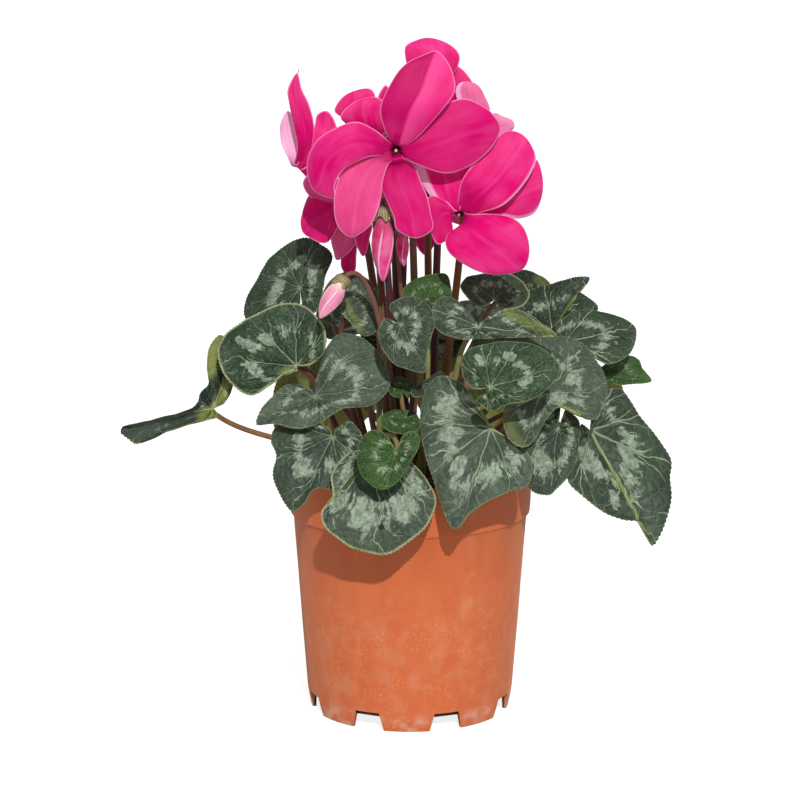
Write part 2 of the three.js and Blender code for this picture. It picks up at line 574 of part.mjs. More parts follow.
// The middle line of a petal: out of the mouth, reflexed, then nearly straight
function petalSpine(axes, petal) {
  const [turn, sweep, length, , twist, curl] = petal;
  const outward = mix([axes.right, Math.cos(rad(turn))], [axes.top, Math.sin(rad(turn))]);
  const across = new THREE.Vector3().crossVectors(axes.facing, outward);
  const place = mix([axes.mouth, 1], [outward, CORE_RING], [axes.facing, -CORE_SINK]);
  const spine = [];
  for (let step = 0; step <= PETAL_STEPS; step += 1) {
    const share = step / PETAL_STEPS;
    const bent = sweep * smooth(share, 0, REFLEX_END) + curl * share;
    const tangent = mix([axes.facing, Math.cos(rad(bent))], [outward, Math.sin(rad(bent))]);
    const side = across.clone().applyAxisAngle(tangent, rad(PETAL_ROLL + twist * share));
    spine.push({ place: place.clone(), side, out: new THREE.Vector3().crossVectors(tangent, side) });
    place.addScaledVector(tangent, length / PETAL_STEPS);
  }
  return spine;
}

function petalHalfWidth(share, width) {
  if (share < PETAL_WIDEST) {
    return PETAL_CLAW + (width / 2 - PETAL_CLAW) * Math.sin((Math.PI / 2) * (share / PETAL_WIDEST));
  }
  const past = (share - PETAL_WIDEST) / (1 - PETAL_WIDEST);
  return (width / 2) * Math.sqrt(Math.max(0, 1 - past * past));
}

const PETAL_ROWS = [0, 5, 12, 20, 24];
const PETAL_CUP = 0.16;
const PETAL_ROLL = 14;

// Rows of points across a petal given by rule
function ruledPetal(axes, petal) {
  const spine = petalSpine(axes, petal);
  return PETAL_ROWS.map((step) => {
    const share = step / PETAL_STEPS;
    const { place, side, out } = spine[step];
    const half = petalHalfWidth(share, petal[3]);
    return spread(step === 0 ? 2 : 4, half > 0.5, (t) =>
      mix([place, 1], [side, t * half], [out, PETAL_CUP * half * t * t * share]));
  });
}

// Rows of points across a drawn petal: its foot in the mouth, its bend clear of the sepals, then the drawn rows,
// whose middle bulges towards the front
function drawnPetal(axes, rows, layer) {
  const [leftAcross, leftDown, rightAcross, rightDown, depth] = rows[0];
  const left = atDepth(leftAcross, leftDown, depth);
  const right = atDepth(rightAcross, rightDown, depth);
  const outward = left.clone().add(right).multiplyScalar(0.5).sub(axes.mouth);
  outward.addScaledVector(axes.facing, -outward.dot(axes.facing)).normalize();
  const across = right.sub(left);
  across.addScaledVector(outward, -across.dot(outward));
  across.addScaledVector(axes.facing, -across.dot(axes.facing)).normalize();
  const row = (count, reach, forward, half) => spread(count, true, (t) =>
    mix([axes.mouth, 1], [outward, reach], [axes.facing, forward], [across, half * t]));
  const foot = row(2, CORE_RING, -CORE_SINK - LAYER_STEP * layer, PETAL_CLAW);
  const elbow = row(3, ELBOW_REACH, ELBOW_FORWARD + LAYER_STEP * layer, PETAL_CLAW + ELBOW_SPREAD);
  return [foot, elbow, ...rows.map((drawn, i) => drawnRow(drawn, i === rows.length - 2 ? 3 : 4))];
}

function drawnRow(drawn, count) {
  if (drawn.length === 3) {
    return [atDepth(...drawn)];
  }
  const [leftAcross, leftDown, rightAcross, rightDown, depth] = drawn;
  const left = atDepth(leftAcross, leftDown, depth);
  const right = atDepth(rightAcross, rightDown, depth);
  const bulge = (PETAL_CUP / 2) * left.distanceTo(right);
  return spread(count, true, (t) =>
    mix([left, (1 - t) / 2], [right, (1 + t) / 2], [new THREE.Vector3(0, 1, 0), bulge * (t * t - 0.5)]));
}

// Points from one edge (-1) to the other (1), or the middle alone where the edges meet
function spread(count, apart, at) {
  if (!apart) {
    return [at(0)];
  }
  return Array.from({ length: count }, (_, i) => at((2 * i) / (count - 1) - 1));
}

function petalBlade(rowsOfPoints) {
  const points = rowsOfPoints.flat();
  const faces = [];
  let next = 0;
  const rows = rowsOfPoints.map((row) => row.map(() => next++));
  for (let i = 1; i < rows.length; i += 1) {
    strip(faces, rows[i - 1], rows[i]);
  }
  const middle = rows.slice(1, -1);
  const border = [...[...rows[0]].reverse(), ...middle.map((row) => row[0]), rows.at(-1)[0],
    ...middle.map((row) => row.at(-1)).reverse()];
  return blade(points, faces, border, PETAL);
}

// Half section of the short tube behind the mouth, with a dimple for the throat
const CORE_PROFILE = [[0, -10.5], [2.6, -9.6], [3.9, -7], [4, -3], [3.6, 0], [2, -0.4], [0, -3.4]];

function corolla(bloom, axes) {
  const drawn = bloom.drawn.map((petal, layer) => drawnPetal(axes, petal, layer));
  const ruled = bloom.byRule.map((petal) => ruledPetal(axes, petal));
  return join([turned(CORE_PROFILE, axes, CORE_SIDES), ...[...drawn, ...ruled].map(petalBlade)]);
}

// Cup of five pointed sepals behind a flower, from its back over the rim to the bottom inside: the height and the
// radius in line with a sepal, then between two sepals
const CALYX_BACK = -13.6;
const CALYX_BOTTOM = -10.9;
const SCAPE_SEAT = CALYX_BACK + 1.2;
const CALYX_ROWS = [
  [[CALYX_BACK, 3], [CALYX_BACK, 3]],
  [[-10.8, 5.6], [-10.8, 5.6]],
  [[-4.6, 6], [-8.4, 5.7]],
  [[-4.9, 5.2], [-8.4, 4.9]],
  [[-10.2, 3.9], [-10.2, 3.9]],
];
const CALYX_SIDES = 10;

function calyx(axes, size) {
  const rows = CALYX_ROWS.map((row) => ringOf(CALYX_SIDES, (turn, i) => {
    const [height, radius] = row[i % 2];
    return aroundMouth(axes, height * size, radius * size, turn);
  }));
  return closedRings(aroundMouth(axes, CALYX_BACK * size, 0, 0), rows, aroundMouth(axes, CALYX_BOTTOM * size, 0, 0));
}

// A point at a height along a flower's axis, a distance from it and a turn round it
function aroundMouth(axes, height, radius, turn) {
  return mix([axes.mouth, 1], [axes.facing, height], [axes.right, radius * Math.cos(turn)],
    [axes.top, radius * Math.sin(turn)]);
}

function ringOf(sides, at) {
  return Array.from({ length: sides }, (_, i) => at((2 * Math.PI * i) / sides, i));
}

// A closed skin from one point over rings of points to another point
function closedRings(start, rings, end) {
  const points = [start, ...rings.flat(), end];
  const sides = rings[0].length;
  const last = points.length - 1;
  const index = [];
  for (let i = 0; i < sides; i += 1) {
    const next = (i + 1) % sides;
    index.push(0, 1 + next, 1 + i);
    for (let row = 0; row < rings.length - 1; row += 1) {
      const here = 1 + sides * row;
      index.push(here + i, here + next, here + sides + next, here + i, here + sides + next, here + sides + i);
    }
    index.push(last, last - sides + i, last - sides + next);
  }
  const geometry = new THREE.BufferGeometry();
  geometry.setAttribute("position", new THREE.Float32BufferAttribute(points.flatMap((p) => p.toArray()), 3));
  geometry.setIndex(index);
  return asSolid(geometry);
}

// Furled petals of a bud: a spindle with five twisted folds, whose foot stands in the cup
const BUD_ROWS = [[0.05, 0.42], [0.15, 0.62], [0.3, 0.93], [0.46, 1], [0.67, 0.86], [0.87, 0.5]];
const BUD_FOLD = 0.16;
const BUD_SIDES = 10;
const BUD_FOOT = -10.4;
const FULL_BUD_RADIUS = 6.6;

function furled(bud, axes, size) {
  const heightAt = (share) => BUD_FOOT * size + share * bud.length;
  const rows = BUD_ROWS.map(([share, girth]) => ringOf(BUD_SIDES, (turn, i) => {
    const fold = i % 2 === 0 ? 1 : 1 - BUD_FOLD;
    return aroundMouth(axes, heightAt(share), girth * bud.radius * fold, turn + rad(bud.twist) * share);
  }));
  return closedRings(aroundMouth(axes, heightAt(0), 0, 0), rows, aroundMouth(axes, heightAt(1), 0, 0));
}

function pot() {
  const outside = [
    [FOOT_RADIUS, 0], [FOOT_RADIUS + 1, NOTCH_HEIGHT + 0.6], [BASE_RADIUS, NOTCH_HEIGHT + 1.2],
    [BODY_TOP_RADIUS, BAND_FOOT], [RIM_RADIUS - 1, BAND_FOOT + 1.4], [RIM_RADIUS, POT_HEIGHT],
  ];
  const inside = [
    [RIM_RADIUS - WALL, POT_HEIGHT], [BODY_TOP_RADIUS - WALL, BAND_FOOT - 1],
    [BASE_RADIUS - WALL, NOTCH_HEIGHT + 2], [BASE_RADIUS - WALL - 0.4, FLOOR_OVER], [0, FLOOR_OVER],
  ];
  const underside = [[0, FLOOR_UNDER], [FOOT_RADIUS - FOOT_WALL, FLOOR_UNDER], [FOOT_RADIUS - FOOT_WALL, 0]];
  let body = asSolid(turnedUpright([...underside, ...outside, ...inside], POT_SEGMENTS));
  for (let i = 0; i < NOTCH_COUNT; i += 1) {
    body = body.subtract(notch(rad(FRONT_FOOT_TURN + (360 / NOTCH_COUNT) * (i + 0.5))));
  }
  return body;
}

// A trapezoid block that cuts one notch through the foot, at a turn from the front
function notch(turn) {
  const outline = new THREE.Shape([
    new THREE.Vector2(-NOTCH_WIDTH_LOW / 2, -1), new THREE.Vector2(NOTCH_WIDTH_LOW / 2, -1),
    new THREE.Vector2(NOTCH_WIDTH_HIGH / 2, NOTCH_HEIGHT), new THREE.Vector2(-NOTCH_WIDTH_HIGH / 2, NOTCH_HEIGHT),
  ]);
  const block = new THREE.ExtrudeGeometry(outline, { depth: 12, bevelEnabled: false });
  block.translate(0, 0, FOOT_RADIUS - FOOT_WALL - 1.2);
  block.rotateX(Math.PI / 2);
  block.rotateZ(turn);
  return asSolid(block);
}

const CORM_PROFILE = [
  [0, CORM_FOOT], [14, CORM_FOOT + 1.5], [24, CORM_FOOT + 7], [CORM_RADIUS, CORM_FOOT + 13],
  [CORM_RADIUS - 1.5, CORM_TOP - 5], [CORM_RADIUS - 4, CORM_TOP], [0, CORM_TOP],
];

function turnedUpright(profile, segments) {
  const lathe = new THREE.LatheGeometry(profile.map(([r, z]) => new THREE.Vector2(r, z)), segments);
  return lathe.rotateX(Math.PI / 2);
}

// Compost with a gently uneven top, hollowed for the corm
function soil() {
  const low = FLOOR_OVER + GAP;
  const wallAt = (z) => THREE.MathUtils.mapLinear(z, NOTCH_HEIGHT + 2, BAND_FOOT - 1,
    BASE_RADIUS - WALL, BODY_TOP_RADIUS - WALL) - GAP - 0.4;
  const heap = turnedUpright([
    [0, low], [BASE_RADIUS - WALL - 2, low], [wallAt(20), 20], [wallAt(SOIL_LEVEL - 3), SOIL_LEVEL - 3],
    [50, SOIL_LEVEL], [40, SOIL_LEVEL + 1], [30, SOIL_LEVEL], [0, SOIL_LEVEL],
  ], 20);
  const place = heap.attributes.position;
  for (let i = 0; i < place.count; i += 1) {
    if (place.getZ(i) > SOIL_LEVEL - 1) {
      const rise = 0.8 * Math.sin(place.getX(i) * 0.35) * Math.cos(place.getY(i) * 0.28);
      place.setZ(i, place.getZ(i) + rise);
    }
  }
  const hollow = CORM_PROFILE.map(([r, z]) => [r === 0 ? 0 : r + GAP, z < CORM_MIDDLE ? z - GAP : z + GAP]);
  return asSolid(heap).subtract(asSolid(turnedUpright(hollow, CORM_SEGMENTS)));
}

// The corm, with a plain hole for the foot of each stalk
function corm(stalks) {
  let body = asSolid(turnedUpright(CORM_PROFILE, CORM_SEGMENTS));
  for (const stalk of stalks) {
    const [foot, next] = stalk.path.getSpacedPoints(stalk.steps);
    const way = next.clone().sub(foot).normalize();
    const line = new THREE.LineCurve3(mix([foot, 1], [way, -GAP]), mix([foot, 1], [way, ROOT_DEPTH + 5]));
    body = body.subtract(rod(line, stalk.radius + HOLE_CLEARANCE, stalk.sides, 1));
  }
  return body;
}

function leafStalk(axes) {
  const { leaf } = axes;
  return {
    axes,
    ring: leaf.ring,
    bow: leaf.bow,
    seat: mix([axes.hub, 1], [axes.along, PETIOLE_SEAT], [axes.face, -PETIOLE_SINK]),
    arrival: mix([axes.face, LEAF_LIFT], [axes.along, Math.sqrt(1 - LEAF_LIFT ** 2)]).normalize(),
    hook: LEAF_HOOK,
    swing: 0,
    radius: leaf.young ? YOUNG_PETIOLE_RADIUS : PETIOLE_RADIUS,
    sides: PETIOLE_SIDES,
    steps: LEAF_STEPS,
  };
}

function flowerStalk(flower, ring, size) {
  const axes = mouthAxes(flower);
  return {
    flower,
    axes,
    ring: flower.ring ?? ring,
    bow: flower.bow,
    seat: axes.mouth.clone().addScaledVector(axes.facing, SCAPE_SEAT * size),
    arrival: axes.facing.clone(),
    hook: FLOWER_HOOK,
    swing: HOOK_SWING * size,
    radius: SCAPE_RADIUS * Math.min(1, size + 0.1),
    sides: SCAPE_SIDES,
    steps: FLOWER_STEPS,
    size,
  };
}

function stalkRod(stalk) {
  return rod(stalk.path, stalk.radius, stalk.sides, stalk.steps);
}

const plant = new THREE.Group();

function show(name, solid, colour, roughness) {
  const material = new THREE.MeshStandardMaterial({ color: colour, roughness, metalness: 0 });
  const mesh = new THREE.Mesh(asGeometry(solid), material);
  mesh.name = name;
  plant.add(mesh);
}

const TERRACOTTA = 0xd27548;
const COMPOST = 0x2b1d14;
const CORM_BROWN = 0x6b4a32;
const LEAF_DARK = 0x425a40;
const LEAF_YOUNG = 0x4f7a34;
const PETAL_PINK = 0xe5257a;
const BUD_PINK = 0xf07fae;
const SCAPE_BROWN = 0x6d4032;

const leaves = [...DRAWN_LEAVES.map(drawnLeaf), ...PLAIN_LEAVES.map(plainLeaf)];
const leafStalks = leaves.map(leafStalk);
const bloomStalks = BLOOMS.map((bloom) => flowerStalk(bloom, "inner", 1));
const budStalks = BUDS.map((bud) => flowerStalk(bud, "centre", bud.radius / FULL_BUD_RADIUS));
const stalks = [...leafStalks, ...bloomStalks, ...budStalks];
placeRoots(stalks);

show("pot", pot(), TERRACOTTA, 0.5);
show("soil", soil(), COMPOST, 1);
show("corm", corm(stalks), CORM_BROWN, 0.9);
for (const stalk of leafStalks) {
  const { leaf } = stalk.axes;
  show(leaf.name, leafBlade(stalk.axes).add(stalkRod(stalk)), leaf.young ? LEAF_YOUNG : LEAF_DARK, 0.55);
}
for (const stalk of bloomStalks) {
  const { flower, axes } = stalk;
  show(`${flower.name}_petals`, corolla(flower, axes), PETAL_PINK, 0.5);
  show(`${flower.name}_stem`, calyx(axes, 1).add(stalkRod(stalk)), SCAPE_BROWN, 0.6);
}
for (const stalk of budStalks) {
  const { flower, axes, size } = stalk;
  show(`${flower.name}_petals`, furled(flower, axes, size), BUD_PINK, 0.5);
  show(`${flower.name}_stem`, calyx(axes, size).add(stalkRod(stalk)), SCAPE_BROWN, 0.6);
}

// The plant spreads unevenly round its pot, so the origin moves to the middle of its box
const box = new THREE.Box3().setFromObject(plant);
plant.position.set(-(box.min.x + box.max.x) / 2, -(box.min.y + box.max.y) / 2, -box.min.z);

export default plant;
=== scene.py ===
"""A florist's cyclamen in its plastic nursery pot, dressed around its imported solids.

The front of the plant is laid out on a drawing 800 units square, as an eye in front of the pot sees it. Each
place of the drawing is thrown onto an upright plane at a depth, or onto the plane of a leaf. Plans are in
millimetres from the middle of the pot's foot; finished pieces are in metres.
"""

import logging
import math
import random
from collections.abc import Iterable, Sequence
from dataclasses import dataclass, field, replace
from enum import Enum

import bpy
import numpy as np
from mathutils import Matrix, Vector, noise


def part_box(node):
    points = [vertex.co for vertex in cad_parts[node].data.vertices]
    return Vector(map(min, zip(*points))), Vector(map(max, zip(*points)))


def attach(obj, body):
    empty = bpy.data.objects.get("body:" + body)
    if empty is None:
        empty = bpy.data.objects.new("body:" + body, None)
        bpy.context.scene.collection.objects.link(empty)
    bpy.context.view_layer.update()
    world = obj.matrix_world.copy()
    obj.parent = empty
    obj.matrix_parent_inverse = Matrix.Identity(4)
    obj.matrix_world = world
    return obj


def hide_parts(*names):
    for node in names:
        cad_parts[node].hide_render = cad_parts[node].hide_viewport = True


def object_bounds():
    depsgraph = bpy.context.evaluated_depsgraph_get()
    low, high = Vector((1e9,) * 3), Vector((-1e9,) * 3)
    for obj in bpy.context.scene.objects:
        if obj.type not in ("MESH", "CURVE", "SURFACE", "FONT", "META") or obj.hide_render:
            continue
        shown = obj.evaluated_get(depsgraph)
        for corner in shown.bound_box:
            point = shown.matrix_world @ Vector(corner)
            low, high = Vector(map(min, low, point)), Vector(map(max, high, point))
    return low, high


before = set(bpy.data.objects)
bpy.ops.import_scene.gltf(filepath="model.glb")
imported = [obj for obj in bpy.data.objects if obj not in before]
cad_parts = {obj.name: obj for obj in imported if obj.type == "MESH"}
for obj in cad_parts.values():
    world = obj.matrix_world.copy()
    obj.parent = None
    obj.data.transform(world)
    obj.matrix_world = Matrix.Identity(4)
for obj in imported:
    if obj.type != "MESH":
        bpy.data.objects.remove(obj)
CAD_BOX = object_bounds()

LOG = logging.getLogger("potted_cyclamen")
MM = 0.001
ROOT = "root"

Pair = tuple[float, float]
Triple = tuple[float, float, float]
Colour = tuple[float, float, float, float]
Faces = list[tuple[int, ...]]
Piece = bpy.types.Object
Tree = bpy.types.NodeTree


class Slot(Enum):
    """Slots of the record that the pieces' finishes belong to."""

    POT = "pot"
    SOIL = "soil"
    CORM = "corm"
    LEAF = "leaf"
    LEAF_YOUNG = "leaf_young"
    PETAL = "petal"
    BUD_PETAL = "bud_petal"
    FLOWER_STEM = "flower_stem"


class Ring(Enum):
    """Rings on the crown of the corm that the stalks rise from: radius in millimetres and outward lean."""

    OUTER = (20.8, 0.8)
    MIDDLE = (15.6, 0.45)
    INNER = (10.2, 0.15)
    CENTRE = (4.6, 0.05)

    @property
    def radius(self) -> float:
        """Radius of the ring."""
        return self.value[0]

    @property
    def lean(self) -> float:
        """How far a stalk of this ring leans outwards where it leaves the crown."""
        return self.value[1]


class Tint(Enum):
    """What a place of a leaf looks like: silver and fresh green are the leaf's own colour, while the shade
    tint is painted shade where a fold or another leaf shades the blade.
    """

    SILVER = "silver"
    FRESH = "fresh"
    SHADE = "shade"


@dataclass(frozen=True)
class StainAndShade:
    """A stained place of a leaf, or a place of painted shade on it: a line on the drawing, its half width
    there and how strong the tint is.
    """

    tint: Tint
    line: tuple[Pair, ...]
    width: float
    strength: float = 1.0


@dataclass(frozen=True)
class LeafLook:
    """How a leaf is marked.

    silver is how far the silver ring spreads, tone how grey the green is, partly the leaf's own greyer green
    and partly a painted sheen where light catches it, veins how pale the veins are, ring where the silver
    ring lies from the hub (0) to the edge (1), rim how pale the edge is and fresh how bright the green is. A
    hole is a place on the drawing and its radius in millimetres.
    """

    silver: float = 0.6
    tone: float = 0.35
    veins: float = 0.6
    ring: float = 0.57
    rim: float = 0.35
    fresh: float = 0.0
    stains_and_shade: tuple[StainAndShade, ...] = ()
    # The hole is painted as a nearly black disc: painted shade seen through it.
    hole: tuple[float, ...] = ()


@dataclass(frozen=True)
class LeafPlan:
    """One leaf: its hub where the stalk meets the blade, its tip and the way that its upper side looks.

    A drawn leaf has its edge on the drawing. A leaf without one is an even heart, with hub and tip in
    millimetres. Bends are (towards, from, curl), in degrees from the tip, leaf lengths and radians a length.
    """

    name: str
    ring: Ring
    hub: Triple
    tip: tuple[float, ...]
    face: Triple
    look: LeafLook = LeafLook()
    edge: tuple[Pair, ...] = ()
    bends: tuple[Triple, ...] = ()
    wave: float = 0.03
    twist: float = 0.0
    bow: Triple = (0.0, 0.0, 0.0)
    young: bool = False


@dataclass(frozen=True)
class DrawnPetal:
    """One petal on the drawing: rows (across, down, across, down, depth) of its two edges, then its tip.

    pale is how pale it is all over, margin how far a pale margin comes in from its left (-) or right (+)
    edge, deep how much painted shade darkens it, and fold how far its middle is creased back, in millimetres,
    which also sets how strongly its two halves are painted in shade and light.
    """

    rows: tuple[tuple[float, ...], ...]
    pale: float = 0.0
    margin: float = 0.0
    deep: float = 0.0
    fold: float = 0.0


@dataclass(frozen=True)
class RuledPetal:
    """One petal by rule: turn round the mouth and sweep from its axis in degrees, size, twist and curl."""

    turn: float
    sweep: float
    length: float
    width: float
    twist: float
    curl: float


@dataclass(frozen=True)
class BloomPlan:
    """One open bloom: its mouth on the drawing with its depth, the way the mouth looks, and its petals.

    A thread is a fine dry hair, given by four places of the drawing with their depths.
    """

    name: str
    mouth: Triple
    facing: Triple
    drawn: tuple[DrawnPetal, ...]
    ruled: tuple[RuledPetal, ...] = ()
    bow: Triple = (0.0, 0.0, 0.0)
    ring: Ring = Ring.INNER
    thread: tuple[Triple, ...] = ()


@dataclass(frozen=True)
class BudPlan:
    """One bud: the middle of its mouth to be, the way it hangs, its length, thickness and twist."""

    name: str
    mouth: Triple
    facing: Triple
    length: float
    girth: float
    twist: float
    bow: Triple = (0.0, 0.0, 0.0)
    ring: Ring = Ring.CENTRE
